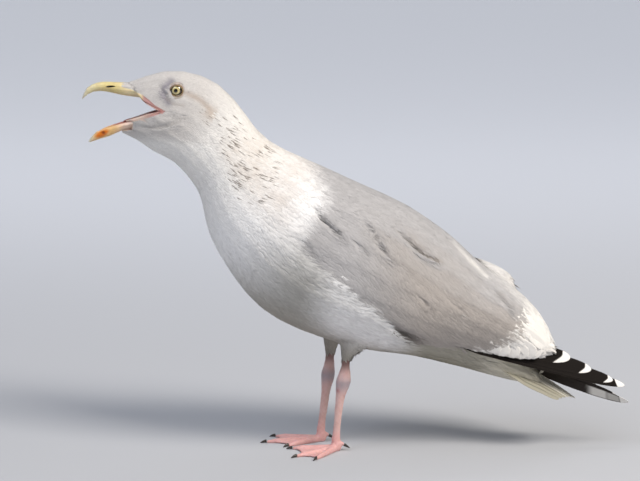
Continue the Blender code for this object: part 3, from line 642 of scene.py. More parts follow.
def build_skin():
    """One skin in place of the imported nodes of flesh, let in by the depth of the coat."""
    obj = solid_copy("skin", BODY_FLESH + LEG_FLESH, SKIN_VOXEL, SKIN_GROWN, 2)
    points, _ = arrays_of(obj.data)
    along, _, _ = on_body(points)
    weight = step(along, 105, 175) * step(points[:, 2], 100, 128) * (1 - 0.6 * step(along, 395, 440))
    group = obj.vertex_groups.new(name=ROUNDING)
    for level in range(1, LEVELS + 1):
        some = np.where(np.round(weight * LEVELS).astype(int) == level)[0]
        group.add(some.tolist(), level / LEVELS, "REPLACE")
    modified(
        obj,
        ("SMOOTH", {"iterations": ROUNDS, "factor": 0.5, "vertex_group": ROUNDING}),
        ("SMOOTH", {"iterations": 5, "factor": 0.5}),
        ("DECIMATE", {"ratio": SKIN_KEPT, "use_collapse_triangulate": True}),
    )
    mesh = obj.data
    refine_face(mesh)
    points, normals = arrays_of(mesh)
    label = nearest_label(points)
    edges = np.empty(len(mesh.edges) * 2, np.int32)
    mesh.edges.foreach_get("vertices", edges)
    edges = edges.reshape(-1, 2)
    depth = np.where(label == HEAD, COAT_DEPTH[HEAD] * step(bill_gap(points), 0.5, 5.0), COAT_DEPTH[label])
    depth = averaged(depth, edges, 8)
    depth[np.isin(label, FEET)] = 0
    hollow, _ = folds(points, normals)
    points = points - normals * (depth + hollow)[:, None]
    x, y, z = points.T
    jaw = (label == HEAD) * until(x, -244, -240.5) * until(z, 356, 359) * step(z, 346.5, 348.5)
    points[:, 1] -= np.sign(y) * np.clip(1.4 + 0.5 * (x + 250), 1.4, 4.4) * jaw
    moved_to(mesh, points)
    _, normals = arrays_of(mesh)
    faces = np.empty(len(mesh.polygons) * 3, np.int32)
    mesh.polygons.foreach_get("vertices", faces)
    faces = faces.reshape(-1, 3)
    naked = bare(points, label)
    colours = plumage_colour(points, normals, label, np.zeros(len(points)))
    colours = painted(colours, (bare_colour(points, label), naked))
    dress(mesh, plumage_skin(), colours, skin_uv(points, normals, label, faces))
    mesh.materials.append(leg_skin())
    mesh.materials.append(mouth_skin())
    kind = np.where(np.isin(label, LEGS), 1, np.where(naked > 0.5, 2, 0))[faces].max(axis=1)
    mesh.polygons.foreach_set("material_index", kind.astype(np.int32))
    riding(obj, BODY_FLESH + LEG_FLESH)
    tree = BVHTree.FromPolygons(points.tolist(), faces.tolist())
    kept = {"points": points, "normals": normals, "label": label, "faces": faces, "edges": edges}
    return SimpleNamespace(obj=obj, tree=tree, **kept)


# A barb is a closed spindle: a root, three corners at its widest and a tip. A tuft is a fan of barbs.
BARB_FACES = np.array(((0, 2, 1), (0, 1, 3), (0, 3, 2), (1, 2, 4), (1, 4, 3), (2, 3, 4)))
BARB_UV = np.array(((0, -0.5), (-0.09, 0), (0.09, 0), (0, 0), (0, 0.5)))
BARB_POINTS, BARBS = 5, 5
PATCH = 0.003  # a tuft's size on the map
ROOTS_TRIED = 400000
COVERED = 6.0  # no tuft grows where a quill lies this close over the skin


def tuft_field(skin):
    """For every point of the skin: gap between tufts, their length, and the lift of their tips."""
    x, _, z = skin.points.T
    label = skin.label
    along, turn, _ = on_body(skin.points)
    face = until(along, 25, 75) * (label == HEAD)
    outside = -inside(GREY_EDGE, x, z)
    flank = step(outside, -2, 3) * until(outside, 12, 30) * (label == TRUNK) * (z < 262)
    gap = TUFT_GAP[label] * (1 - 0.12 * face)
    length = TUFT_LENGTH[label] * (1 - 0.32 * face) * (1 + 0.9 * flank)
    lift = TUFT_LIFT[label] * (1 - 0.3 * face) + 0.24 * (label == TRUNK) * step(np.abs(turn), 1.2, 2.0)
    return [averaged(field, skin.edges, 10) for field in (gap, length, lift * (1 + 0.8 * flank))]


def scattered(skin):
    """Roots of tufts spread evenly over the skin, with the skin's way and the coat's fields at each."""
    points, faces, label = skin.points, skin.faces, skin.label
    gap, length, lift = tuft_field(skin)
    a, b, c = (points[faces[:, k]] for k in range(3))
    area = np.linalg.norm(np.cross(b - a, c - a), axis=1) / 2
    clad = (bare(points, label)[faces].max(axis=1) < 0.5) & ~np.isin(label[faces], LEGS).any(axis=1)
    weight = np.where(clad, area / gap[faces[:, 0]] ** 2, 0)
    chosen = RANDOM.choice(len(faces), ROOTS_TRIED, p=weight / weight.sum())
    r1, r2 = np.sqrt(RANDOM.random(len(chosen))), RANDOM.random(len(chosen))
    share = np.stack([1 - r1, r1 * (1 - r2), r1 * r2], axis=1)
    corner = faces[chosen]
    owner = label[corner[:, 0]]

    def at(rows):
        return (rows[corner] * (share[:, :, None] if rows.ndim == 2 else share)).sum(axis=1)

    where, reach, ways = at(points), at(gap), unit(at(skin.normals))
    tree = KDTree(len(where))
    for i, p in enumerate(where):
        tree.insert(p, i)
    tree.balance()
    free = np.ones(len(where), bool)
    kept = []
    for i in range(len(where)):
        if free[i]:
            kept.append(i)
            for _, other, _ in tree.find_range(where[i], reach[i]):
                free[other] = False
    corners, sides = points.tolist(), faces.tolist()
    for name in ("tail", "primaries_left", "primaries_right"):
        start = len(corners)
        corners += [tuple(v.co / MM) for v in NODES[name].data.vertices]
        sides += [[start + i for i in p.vertices] for p in NODES[name].data.polygons]
    cover = BVHTree.FromPolygons(corners, sides)
    x, _, z = where.T
    forward = -ways[:, 0] * BILL_PLANE[0] - ways[:, 2] * BILL_PLANE[1]
    rim = (z > 380) & (behind_bill(where) < 0.15) | (x < -249.3) & (z < 352) | (forward > 0.85)
    rear = (x > 211) & np.isin(owner, WINGS) | (x > 201) & (z > 96) & (owner == COVERTS)
    shut = rim & (owner == HEAD) | rear

    def in_the_open(i):
        return cover.ray_cast(where[i] + 0.8 * ways[i], ways[i], COVERED)[0] is None

    kept = [i for i in kept if not shut[i] and in_the_open(i)]
    return [rows[kept] for rows in (where, ways, owner, at(length), at(lift), reach)]


def lie_of(roots, normals, label):
    """The way the feathers lie at each root."""
    x = roots[:, 0]
    _, _, way = on_body(roots)
    down = np.radians(np.interp(x, (-60, 20, 120, 210), (36, 50, 46, 30)))
    down = np.where(normals[:, 2] > 0.75, np.radians(30), down)
    wing = np.stack([np.cos(down), np.zeros(len(x)), -np.sin(down)], axis=1)
    over = np.isin(label, WINGS)[:, None] * 0.85
    way = way * (1 - over) + wing * over
    thigh = np.isin(label, THIGHS)[:, None] * 0.75
    way = way * (1 - thigh) + np.array([0.25, 0, -1.0]) * thigh
    away = (roots - np.array(EYE)) * (1, 0, 1)
    reach = np.hypot(away[:, 0], away[:, 2])[:, None]
    way = way + 0.5 * away / np.maximum(reach, 1) * peak(reach, 11) * (label == HEAD)[:, None]
    slope = np.arctan2(-way[:, 2], way[:, 0])
    slope = slope * (1 - 0.45 * step(slope, 0.5, 0.9) * (label <= NECK))
    way = np.stack([np.cos(slope), way[:, 1], -np.sin(slope)], axis=1)
    way = unit(way + RANDOM.normal(0, 0.05, way.shape) * (1 + (label > NECK))[:, None])
    facing = (way * normals).sum(axis=1, keepdims=True)
    return unit(way - normals * facing * (1 - 0.35 * (facing > 0.7)))


def streaks(roots, label):
    """Which tufts carry a dark shaft, and how dark it is."""
    x, _, z = roots.T
    nape = step(inside(DASHED, x, z), -3, 5) * step(spread_noise(roots, 10.0), -0.5, 0.5)
    crown = (label == HEAD) * step(z, 390, 402) * step(x, -200, -175)
    temple = peak(line_gap(DARK_SHAFTS, x, z)[0], 5.0) * (label == HEAD) * step(eye_gap(roots), 2.0, 2.6)
    kind = RANDOM.random(len(x))
    strong = kind < 0.29 * nape * until(z, 352, 374)
    faint = ~strong & (kind < 0.14 * nape + 0.03 * crown + 0.03 * temple)
    dark = np.where(strong, RANDOM.uniform(0.55, 1.0, len(x)), 0)
    return strong | faint, dark + np.where(faint, RANDOM.uniform(0.2, 0.45, len(x)), 0)


def build_tufts(tree, roots, normals, label, length, lift, gap):
    """Points, colours, map and normals of tufts rooted on the surface in tree, a row of points for each."""
    n = len(roots)
    way = lie_of(roots, normals, label)
    length = length * RANDOM.uniform(0.85, 1.15, n)
    dash, dark = streaks(roots, label)
    length = length * np.where(dash, 1.3, 1.0)
    upright = normals - way * (way * normals).sum(axis=1, keepdims=True)
    _, turn, _ = on_body(roots)
    outward = np.stack([0 * turn, np.sin(turn), np.cos(turn)], axis=1)
    lost = np.linalg.norm(upright, axis=1) < 0.5
    lost |= ((upright * outward).sum(axis=1) < 0.1) & (label == COVERTS)
    fresh = outward - way * (way * outward).sum(axis=1, keepdims=True)
    upright = unit(np.where(lost[:, None], fresh, upright))
    across = unit(np.cross(upright, way))
    loose = CLUMP[label] * (1 + 2.0 * step(lift, 0.6, 0.9))
    drift = (spread_noise(roots + 20, 5.0) * loose * gap)[:, None] * across
    middle, tip, tip_normal = np.empty((n, 3)), np.empty((n, 3)), np.empty((n, 3))
    for i in range(n):
        straight = Vector(upright[i])
        for share, into in ((0.5, middle), (1.0, tip)):
            ahead = roots[i] + way[i] * length[i] * share + drift[i] * share**2
            spot, turned, _, off = tree.find_nearest(ahead)
            pull = min(1.0, 0.3 * length[i] * share / max(off, 1e-6))
            turned = turned if pull == 1.0 and turned.dot(straight) > 0.3 else straight
            height = lift[i] * (0.62 if share < 1 else RANDOM.uniform(0.75, 1.2))
            into[i] = ahead + (np.array(spot) - ahead) * pull + np.array(turned) * height
        tip_normal[i] = turned
    raised = ((dark > 0.45) * lift)[:, None] * upright
    start = roots - normals * 0.25 + raised * 0.9
    middle = middle + raised * 0.8
    tip = tip + raised * 0.4
    base = plumage_colour(roots, normals, label, RANDOM.normal(0, 2.5, n))
    shade = RANDOM.normal(1, 0.03, n)
    slim = np.where(dash, 0.27, 1.0)
    place = body_uv(roots)[:, None]
    made = [[], [], [], []]
    for o in np.linspace(-0.5, 0.5, BARBS):
        thick = (gap * 0.34 * slim * RANDOM.uniform(0.8, 1.2, n))[:, None]
        short = (1 - 0.9 * o * o + RANDOM.normal(0, 0.05, n))[:, None]
        side = (gap * 1.5 * o * slim)[:, None] * across
        stray = across * RANDOM.normal(0, 0.12, (n, 1)) * gap[:, None]
        end = start + (tip - start) * short + side * 0.9 + stray
        mid = start + (middle - start) * (0.4 + 0.5 * short) + side * 0.85
        ridge = mid + upright * thick * 0.18
        rings = (start + side * 0.35, mid - across * thick, mid + across * thick, ridge, end)
        colour = base * (shade * (1 + RANDOM.normal(0, 0.03, n)))[:, None]
        colour = painted(colour, (STREAK_BROWN, dark * (1 - 0.7 * abs(o))))
        # the root painted darker, as shade and as the darker down there, and the tip a touch lighter
        tones = [base * 0.93] + [colour] * 3 + [np.minimum(colour * 1.02, 0.95)]
        patch = place + PATCH * (BARB_UV + (o * 0.8, 0))
        leaning, last = unit(upright + across * o * 0.5), unit(tip_normal + across * o * 0.4)
        soft = np.stack([leaning] * 4 + [last], axis=1)
        for rows, fan in zip(made, (np.stack(rings, axis=1), np.stack(tones, axis=1), patch, soft)):
            rows.append(fan)
    return [np.stack(rows, axis=1).reshape(n, BARBS * BARB_POINTS, -1) for rows in made]


def coat_piece(name, made, looks):
    """One object of tufts side by side, from their points, colours, places on the map and normals."""
    points, colours, uv, soft = (rows.reshape(-1, rows.shape[2]) for rows in made)
    fan = np.concatenate([BARB_FACES + BARB_POINTS * k for k in range(BARBS)])
    faces = (fan + BARBS * BARB_POINTS * np.arange(len(made[0]))[:, None, None]).reshape(-1, 3)
    obj = mesh_object(name, points, faces, looks, colours, uv, soft)
    riding(obj)


def build_coat(skin):
    """The small feathers, in pieces by part of the body and by side. The thighs' go with the trunk's."""
    roots, normals, label, length, lift, gap = scattered(skin)
    made = build_tufts(skin.tree, roots, normals, label, length, lift, gap)
    groups = []
    for part, number in (("head", HEAD), ("neck", NECK), ("trunk", TRUNK)):
        for side, thigh in zip(SIDES.values(), THIGHS):
            here = (label == number) & ((roots[:, 1] < 0) == (side == "left"))
            groups.append((f"coat_{part}_{side}", here | (number == TRUNK) & (label == thigh)))
    groups.append(("coat_rump", label == COVERTS))
    groups += [(f"coat_wing_{side}", label == wing) for side, wing in zip(SIDES.values(), WINGS)]
    looks = coat_looks()
    for name, some in groups:
        coat_piece(name, [rows[some] for rows in made], looks)


WEDGE_TRIED, WEDGE_GAP = 3000, 0.62
WEDGE_TUFT = (4.4, 0.12, 1.0)  # length, lift and breadth


def build_wedge(skin, bill):
    """The forehead's feathers where they run forward over the upper bill."""
    faces = bill.data.polygons
    centres = np.array([p.center for p in faces]) / MM
    ways = np.array([p.normal for p in faces])
    there = (inside(WEDGE, centres[:, 0], centres[:, 2]) > 0.2) & (behind_bill(centres) < 0)
    weight = (there & (ways[:, 0] < 0.4)) * np.array([p.area for p in faces])
    kept = []
    for i in RANDOM.choice(len(centres), WEDGE_TRIED, p=weight / weight.sum()):
        if all(np.linalg.norm(centres[i] - centres[j]) > WEDGE_GAP for j in kept):
            kept.append(i)
    corners = [[len(skin.points) + i for i in p.vertices] for p in faces]
    both = np.concatenate([skin.points, arrays_of(bill.data)[0]])
    tree = BVHTree.FromPolygons(both.tolist(), skin.faces.tolist() + corners)
    sizes = (np.full(len(kept), size) for size in WEDGE_TUFT)
    made = build_tufts(tree, centres[kept], ways[kept], np.full(len(kept), HEAD), *sizes)
    coat_piece("coat_forehead_edge", made, coat_looks())


def set_inputs(made, inputs):
    """Sets inputs of a shader node by name or number: a socket is linked, anything else is a plain value."""
    for key, value in inputs.items():
        if isinstance(value, bpy.types.NodeSocket):
            made.id_data.links.new(value, made.inputs[key])
        else:
            made.inputs[key].default_value = value


def node(tree, kind, inputs, settings=None, out=0):
    """Adds a shader node with its inputs and settings, and gives back one of its outputs."""
    made = tree.nodes.new(kind)
    for key, value in (settings or {}).items():
        setattr(made, key, value)
    set_inputs(made, inputs)
    return made.outputs[out]


def marked(tree):
    """The colours painted on the mesh."""
    return node(tree, "ShaderNodeVertexColor", {}, {"layer_name": "Markings"})


def finish_of(name, roughness, code=None, **numbers):
    """A material, its node tree and its shader, in one colour or, without a code, in the painted colours."""
    made = bpy.data.materials.new(name)
    made.use_nodes = True
    tree = made.node_tree
    shader = tree.nodes["Principled BSDF"]
    set_inputs(shader, {"Roughness": roughness, "Base Color": (*linear(code), 1) if code else marked(tree)})
    set_inputs(shader, {key.replace("_", " "): value for key, value in numbers.items()})
    return made, tree, shader


def embossed(tree, shader, height, strength, deep):
    """Gives the surface a fine relief, deep metres high."""
    bump = node(tree, "ShaderNodeBump", {"Strength": strength, "Distance": deep, "Height": height})
    set_inputs(shader, {"Normal": bump})


def toned(tree, shader, value, limits):
    """Darkens or lightens the painted colours by a value, brought between the limits."""
    paint = shader.inputs["Base Color"].links[0].from_socket
    tone = node(tree, "ShaderNodeMapRange", {"Value": value, **limits})
    way = {"data_type": "RGBA", "blend_type": "MULTIPLY"}
    set_inputs(shader, {"Base Color": node(tree, "ShaderNodeMix", {0: 1.0, 6: paint, 7: tone}, way, 2)})


# Feathers of the body: matt and soft, with a faint pale bloom at grazing angles.
def coat_looks():
    return finish_of("plumage", 0.85, Sheen_Weight=0.12, Sheen_Roughness=0.5, Specular_IOR_Level=0.25)[0]


# Skin under the feathers: shows only between tufts, so it is matt and follows their colours.
def plumage_skin():
    return finish_of("skin_under_feathers", 0.9, Specular_IOR_Level=0.2)[0]


# Bare skin of the mouth's edge and the eye's rim: smooth, a little moist.
def mouth_skin():
    return finish_of("bare_skin", 0.42, Subsurface_Weight=0.15, Subsurface_Scale=0.002)[0]


# Leg and web skin: leathery, with scutes that catch a dull light.
def leg_skin():
    made, tree, shader = finish_of("leg_skin", 0.48, Subsurface_Weight=0.08, Subsurface_Scale=0.002)
    place = node(tree, "ShaderNodeTexCoord", {}, out="Object")
    place = node(tree, "ShaderNodeMapping", {"Vector": place, "Scale": (1.0, 1.0, 2.0)})
    scutes = {"Vector": place, "Scale": 820.0}
    cells = node(tree, "ShaderNodeTexVoronoi", scutes, {"feature": "DISTANCE_TO_EDGE"}, "Distance")
    edge = node(tree, "ShaderNodeMapRange", {"Value": cells, "From Min": 0.0, "From Max": 0.16})
    embossed(tree, shader, edge, 0.25, 0.00025)
    toned(tree, shader, edge, {"To Min": 0.93, "To Max": 1.0})
    return made


# Bill: satin horn, worn a little uneven.
def bill_looks():
    made, tree, shader = finish_of("bill_horn", 0.33, Subsurface_Weight=0.06, Subsurface_Scale=0.0015)
    place = node(tree, "ShaderNodeTexCoord", {}, out="Object")
    wear = node(tree, "ShaderNodeTexNoise", {"Vector": place, "Scale": 220.0, "Detail": 4.0})
    embossed(tree, shader, wear, 0.25, 0.0003)
    toned(tree, shader, wear, {"From Min": 0.3, "From Max": 0.7, "To Min": 0.88, "To Max": 1.06})
    return made


# Flight feathers: close-knit barbs that run out from the shaft and give a low silky gloss.
def vane_looks():
    made, tree, shader = finish_of("flight_feather", 0.7, Specular_IOR_Level=0.08)
    barbs = node(tree, "ShaderNodeAttribute", {}, {"attribute_name": "Barbs"}, "Fac")
    turns = node(tree, "ShaderNodeMath", {0: barbs, 1: 2 * math.pi / BARB_STEP}, {"operation": "MULTIPLY"})
    ridges = node(tree, "ShaderNodeMath", {0: turns}, {"operation": "SINE"})
    embossed(tree, shader, ridges, 0.22, 0.00012)
    return made


# Eyeball: clear wet surface over the painted iris and pupil.
def eye_looks():
    return finish_of("eye", 0.08, Coat_Weight=1.0, Coat_Roughness=0.02)[0]


# Claws: dark smooth horn.
def claw_looks():
    return finish_of("claw_horn", 0.35, CLAW_BLACK)[0]


# Tongue: moist flesh.
def tongue_looks():
    return finish_of("tongue", 0.3, TONGUE_PINK, Subsurface_Weight=0.2, Subsurface_Scale=0.002)[0]


def stand_in(name, looks, voxel, soften, paint=None, root=None, grow=0.0, plug=None):
    """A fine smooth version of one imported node, in its place. root is where it goes deeper into the skin."""
    obj = solid_copy(name + "_fine", (name,), voxel, grow, soften, plug)
    if root:
        modified(obj, ("DECIMATE", {"ratio": 0.4}))
    points, normals = arrays_of(obj.data)
    if root:
        (x, z), (way_x, way_z), by, widen = root
        near = step((points[:, 0] - x) * way_x + (points[:, 2] - z) * way_z, -1.6, -0.2)
        points = points + near[:, None] * np.array(by)
        points[:, 1] *= 1 + near * widen
        moved_to(obj.data, points)
    dress(obj.data, looks, paint(points, normals) if paint else None)
    return riding(obj, (name,))


def vane_outline(t, ragged):
    """How wide a feather is along its length, as a share of its half width, with a slightly frayed edge."""
    rounding = np.clip((t - 0.74) / 0.26, 0, 1) ** 2.4
    wide = np.clip(t / 0.15, 0, 1) ** 0.5 * np.sqrt(np.clip(1 - rounding, 0, 1))
    fray = 1 - ragged * RANDOM.random((2, len(t))) * (t > 0.2)
    return np.maximum(wide, 0.04) * fray


def vane(t, path, across, normals, half, thick, paint, ragged, columns, camber):
    """One feather blade as arrays: closed, thin and arched, with colours by paint(t, u, upper, places)."""
    count = len(path)
    left, right = vane_outline(t, ragged)
    u = np.linspace(-1, 1, columns)
    wide = np.where(u[None] < 0, left[:, None], right[:, None]) * half * u[None]
    arch = camber * half * (1 - u[None] ** 2) + 0.12 * peak(u[None], 0.12) * (1 - 0.6 * t[:, None])
    top = path[:, None] + across[:, None] * wide[:, :, None] + normals[:, None] * arch[:, :, None]
    low = top - normals[:, None] * (thick * (1 - 0.6 * u**2))[None, :, None]
    points = np.concatenate([top.reshape(-1, 3), low.reshape(-1, 3)])
    size = count * columns
    grid = np.arange(size).reshape(count, columns)
    a, b, c, d = grid[:-1, :-1], grid[:-1, 1:], grid[1:, 1:], grid[1:, :-1]
    faces = [np.stack(turned, axis=-1).reshape(-1, 4) for turned in ([a, d, c, b], [a, b, c, d])]
    faces[1] += size
    rim = np.concatenate([grid[0], grid[1:, -1], grid[-1, -2::-1], grid[-2:0:-1, 0]])
    after = np.roll(rim, -1)
    faces.append(np.stack([rim, after, after + size, rim + size], axis=-1))
    tt, uu = np.repeat(t, columns), np.tile(u, count)
    colours = np.concatenate([paint(tt, uu, True, points[:size]), paint(tt, uu, False, points[size:])])
    place = np.concatenate([np.stack([middle + 0.2 * uu, tt], axis=1) for middle in (0.24, 0.74)])
    length = np.linalg.norm(np.diff(path, axis=0), axis=1).sum()
    barbs = np.tile(tt * length - np.abs(uu) * half * 1.2, 2)
    return points, np.concatenate(faces), colours, place, barbs


def vanes_object(name, vanes, looks, nodes=()):
    """Joins feather blades; each has a strip of the map to itself."""
    parts, start = [[], [], [], [], []], 0
    for number, (points, faces, colours, place, barbs) in enumerate(vanes):
        uv = np.stack([(number + place[:, 0]) / len(vanes), 0.01 + 0.98 * place[:, 1]], axis=1)
        for part, rows in zip(parts, (points, faces + start, colours, uv, barbs)):
            part.append(rows)
        start += len(points)
    points, faces, colours, uv, barbs = (np.concatenate(part) for part in parts)
    obj = mesh_object(name, points, faces, looks, colours, uv)
    obj.data.attributes.new("Barbs", "FLOAT", "POINT").data.foreach_set("value", barbs.astype(np.float32))
    riding(obj, nodes)


BARB_STEP = 0.8  # from one barb of a flight feather to the next
# The folded outer flight feathers lie in a leaning plane: x, z and distance from the midline at both ends.
PRIMARY_PLANE = ((96.2, 118.8, 50.0), (289.4, 68.0, 13.0))
PRIMARY_LEAN = math.tan(math.radians(32))
RIGHT_TURN, RIGHT_HINGE, RIGHT_SLIP, RIGHT_SAG = math.radians(5.7), (170.6, 111.0), (12.0, -11.5), 6.0
# Each feather: root x, z; tip x, z; half width; length of its white tip.
PRIMARIES = (
    ((102, 123.5), (289, 69.5), 6.5, 10.0),
    ((106, 126), (276, 75.5), 8.0, 10.5),
    ((110, 127.5), (252, 87.5), 9.0, 13.0),
    ((112, 128), (229, 100.5), 9.5, 17.0),
    ((114, 128.5), (207, 112.5), 9.5, 12.0),
)


def primary_place(side, x, z, out):
    """The place in space of a point given from the side, out millimetres outside the feathers' plane."""
    (ax, az, ay), (bx, bz, by) = PRIMARY_PLANE
    along = (x - ax) / (bx - ax)
    height = z - (az + (bz - az) * along)
    y = ay + (by - ay) * along - 3.0 + out - height * PRIMARY_LEAN
    if side > 0:
        z = z - RIGHT_SAG * np.sin(math.pi * np.clip(along, 0, 1))
        dx, dz = x - RIGHT_HINGE[0], z - RIGHT_HINGE[1]
        turn_x = dx * math.cos(RIGHT_TURN) + dz * math.sin(RIGHT_TURN)
        turn_z = dz * math.cos(RIGHT_TURN) - dx * math.sin(RIGHT_TURN)
        x, z = RIGHT_HINGE[0] + turn_x + RIGHT_SLIP[0], RIGHT_HINGE[1] + turn_z + RIGHT_SLIP[1]
    return np.stack([x, side * y, z], axis=-1)


def primary_colour(t, u, upper, length, white, outer):
    """Colours of a black feather with a white tip. The outermost has pale patches on its underside."""
    edge = np.abs(u)
    from_tip = (1 - t) * length + 2.5 * u
    below = 0.9 * (outer and not upper)
    mirror = step(from_tip, 22, 28) * until(from_tip, 40, 50) * until(edge, 0.8, 0.95)
    pale = step(from_tip, 9, 12) * until(from_tip, 22, 27) * until(edge, 0.7, 0.95)
    reach = white * (1.0 if outer else 0.32 + 0.40 * (u + 1) - 0.12 * np.cos(2.5 * u))
    return painted(
        QUILL_BLACK if upper else QUILL_UNDER,
        (QUILL_EDGE, 0.4 * step(edge, 0.8, 1.0)),
        (MIRROR_WHITE, below * mirror),
        (MIRROR_PALE, below * pale),
        (TIP_WHITE, until(from_tip, reach - 0.7, reach + 0.5)),
    )


def build_primaries():
    """The black flight feathers of the folded wings, with finer rows towards the tip."""
    looks = vane_looks()
    t = np.concatenate([np.linspace(0, 0.75, 45, endpoint=False), np.linspace(0.75, 1, 110)])
    droop = 2.0 * t * (1 - t)
    for side, label in SIDES.items():
        vanes = []
        for number, ((rx, rz), (tx, tz), half, white) in enumerate(PRIMARIES):
            x, z, out = rx + (tx - rx) * t, rz + (tz - rz) * t - droop, 0.3 + 0.62 * number
            path = primary_place(side, x, z, out)
            across = unit(primary_place(side, x - 0.27, z - 1.0, out) - path)
            facing = unit(np.cross(unit(np.gradient(path, axis=0)), across))
            facing = facing * np.sign(facing[:, 1] * side)[:, None]
            marks = (math.hypot(tx - rx, tz - rz), white, number == 0)

            def paint(tt, uu, upper, _, marks=marks):
                return primary_colour(tt, uu, upper, *marks)

            vanes.append(vane(t, path, across, facing, half, 0.4, paint, 0.02, 15, 0.05))
        vanes_object(f"flight_feathers_{label}", vanes, looks, (f"primaries_{label}",))


TAIL_HALF, TAIL_FALL = 28.5, 12.5  # half width of the folded tail, and how far its edges hang below its ridge
TAIL_RIDGE = ((131.6, 170.6, 198.6, 213.6, 226.6, 237.0), (105.5, 91.5, 78.0, 68.8, 59.8, 52.5))
TAIL_ROOT, TAIL_TIP, TAIL_PAIRS = 112.0, 236.5, 6


def build_tail():
    """Twelve tail feathers, folded: the middle pair on top, each next pair lower, shorter and further out."""
    vanes = []
    t = np.linspace(0, 1, 60)
    for pair in range(TAIL_PAIRS):
        x = TAIL_ROOT + (TAIL_TIP - 4.0 * pair - TAIL_ROOT) * t
        # the upper pairs painted a little darker as shade, the lower pairs much darker as shade
        code = SHADED_TAIL_WHITE if pair < 3 else TAIL_LOWER_SHADE
        for side in SIDES:
            y = side * (1.5 + 4.4 * pair) * (0.62 + 0.38 * np.clip(t * 1.6, 0, 1))
            z = np.interp(x, *TAIL_RIDGE) - TAIL_FALL * (y / TAIL_HALF) ** 2
            z = z + 0.8 - 0.36 * pair + 0.16 * side + 4.0 * until(x, 150, 186)
            path = np.stack([x, y, z], axis=1)
            along = unit(np.gradient(path, axis=0))
            fall = np.stack([0 * x, np.ones_like(x), -TAIL_FALL * 2 * y / TAIL_HALF**2], axis=1)
            across = unit(fall - along * (fall * along).sum(axis=1, keepdims=True))
            facing = unit(np.cross(along, across))
            facing = facing * np.sign(facing[:, 2])[:, None]

            def paint(tt, uu, *_, code=code):
                return painted(code, (TAIL_END, 0.3 * step(tt, 0.9, 1.0) * step(np.abs(uu), 0.2, 1.0)))

            vanes.append(vane(t, path, across, facing, 7.5, 0.4, paint, 0.03, 9, 0.02))
    vanes_object("tail_feathers", vanes, vane_looks(), ("tail",))


def long_feather_colour(tt, uu, _, places):
    """The coat's colours on the wing's long feathers, with darker edges, and white ends at the rear."""
    outward = np.tile([0.0, -1.0, 0.0], (len(tt), 1))
    colour = plumage_colour(places, outward, np.full(len(tt), WINGS[0]), 2.0 * np.sin(uu * 4))
    colour = colour * (1 - 0.04 * np.abs(uu) ** 3)[:, None]
    return painted(colour, (TIP_WHITE, 0.85 * step(tt, 0.86, 0.95) * step(places[:, 0], 105, 125)))


def laid_vane(tree, side, tip, slope, length, half, lift, rows=60):
    """A feather laid on the skin, with its tip at a place. It runs straight on past the wing's edge."""
    slope = math.radians(slope)
    way = Vector((math.cos(slope), 0, -math.sin(slope)))
    start = Vector((tip[0], side * 200, tip[1])) - way * length
    spot, turned, _, _ = tree.ray_cast(start, Vector((0, -side, 0)))
    path, normals, across, past = [], [], [], False
    shares = np.linspace(0, 1, rows)
    for t in shares:
        lying = (way - turned * way.dot(turned)).normalized()
        path.append(spot + turned * (lift[0] + (lift[1] - lift[0]) * t**1.6))
        normals.append(turned)
        across.append(turned.cross(lying) * side)
        ahead = spot + lying * length / (rows - 1)
        if not past:
            found, facing, _, _ = tree.find_nearest(ahead)
            past = t > 0.5 and (facing.z < -0.25 or facing.dot(turned) < 0.9)
        spot, turned = (ahead, turned) if past else (found, facing)
    path, normals, across = (np.array([tuple(v) for v in part]) for part in (path, normals, across))
    for _ in range(14):
        path[1:-1] = between(path)
        normals[1:-1] = unit(between(normals))
        across[1:-1] = unit(between(across))
    return vane(shares, path, across, normals, half, 0.35, long_feather_colour, 0.10, 11, 0.05)


# Long feathers of the folded wing, hidden under the coat but for their ends:
# tip x, z; slope; length; half width; height over the skin at the root and at the tip.
LONG_FEATHERS = (
    ((150, 108.5), 40, 50, 8.5, (-3.0, 0.3)),
    ((160, 106.5), 40, 52, 9.0, (-3.0, 0.4)),
    ((171, 104.5), 39, 56, 9.5, (-2.8, 0.45)),
    ((181, 102.5), 38, 60, 10.0, (-2.6, 0.5)),
    ((190, 103), 37, 62, 10.5, (-2.6, 0.6)),
    ((198, 105.5), 38, 66, 11.0, (-2.4, 0.7)),
    ((204, 111), 39, 70, 11.0, (-2.4, 0.8)),
    ((207, 119), 41, 72, 11.0, (-2.4, 0.9)),
)


def build_long_feathers(skin):
    """The long white-tipped feathers at the rear of both wings."""
    looks = vane_looks()
    for side, label in SIDES.items():
        vanes = [laid_vane(skin.tree, side, *feather) for feather in LONG_FEATHERS]
        vanes_object(f"long_feathers_{label}", vanes, looks)


# The wall between the nostrils: its middle and its half sizes.
NOSTRIL_WALL = ((-266.0, 0.0, 394.2), (6.0, 0.7, 2.0))
# Where both halves of the bill go deeper into the skin: a place, the way in, the move, the widening.
UPPER_ROOT = (BILL_TOP, BILL_PLANE, (2.2, 0, -1.2), 0.0)
LOWER_ROOT = ((-250.5, 352.0), (0.96, 0.27), (9.0, 0, 2.2), 0.32)


def upper_bill_colour(points, _):
    """Yellow horn, paler to both ends and painted lighter still at the base over its shade, with the nostril's
    slit painted in as dark shade.
    """
    x, _, z = points.T
    slit = np.hypot((x + 265.5) / 5.0, (z - 394.1 - 0.06 * (x + 265.5)) / 1.15)
    return painted(
        HORN_YELLOW,
        (HORN_PALE, until(x, -290, -268)),
        (HORN_TIP, until(x, -297, -288)),
        # pale horn at the base, painted lighter still as light over its shade
        (LIT_HORN_BASE, 0.8 * step(x, -262, -244)),
        # feathers over the horn, in the face's white with its painted shade
        (SHADED_FACE_WHITE, step(inside(WEDGE, x, z), -0.3, 0.3)),
        # the nostril's slit, painted dark as the shade inside it
        (NOSTRIL_SHADE, until(slit, 0.7, 1.15)),
    )


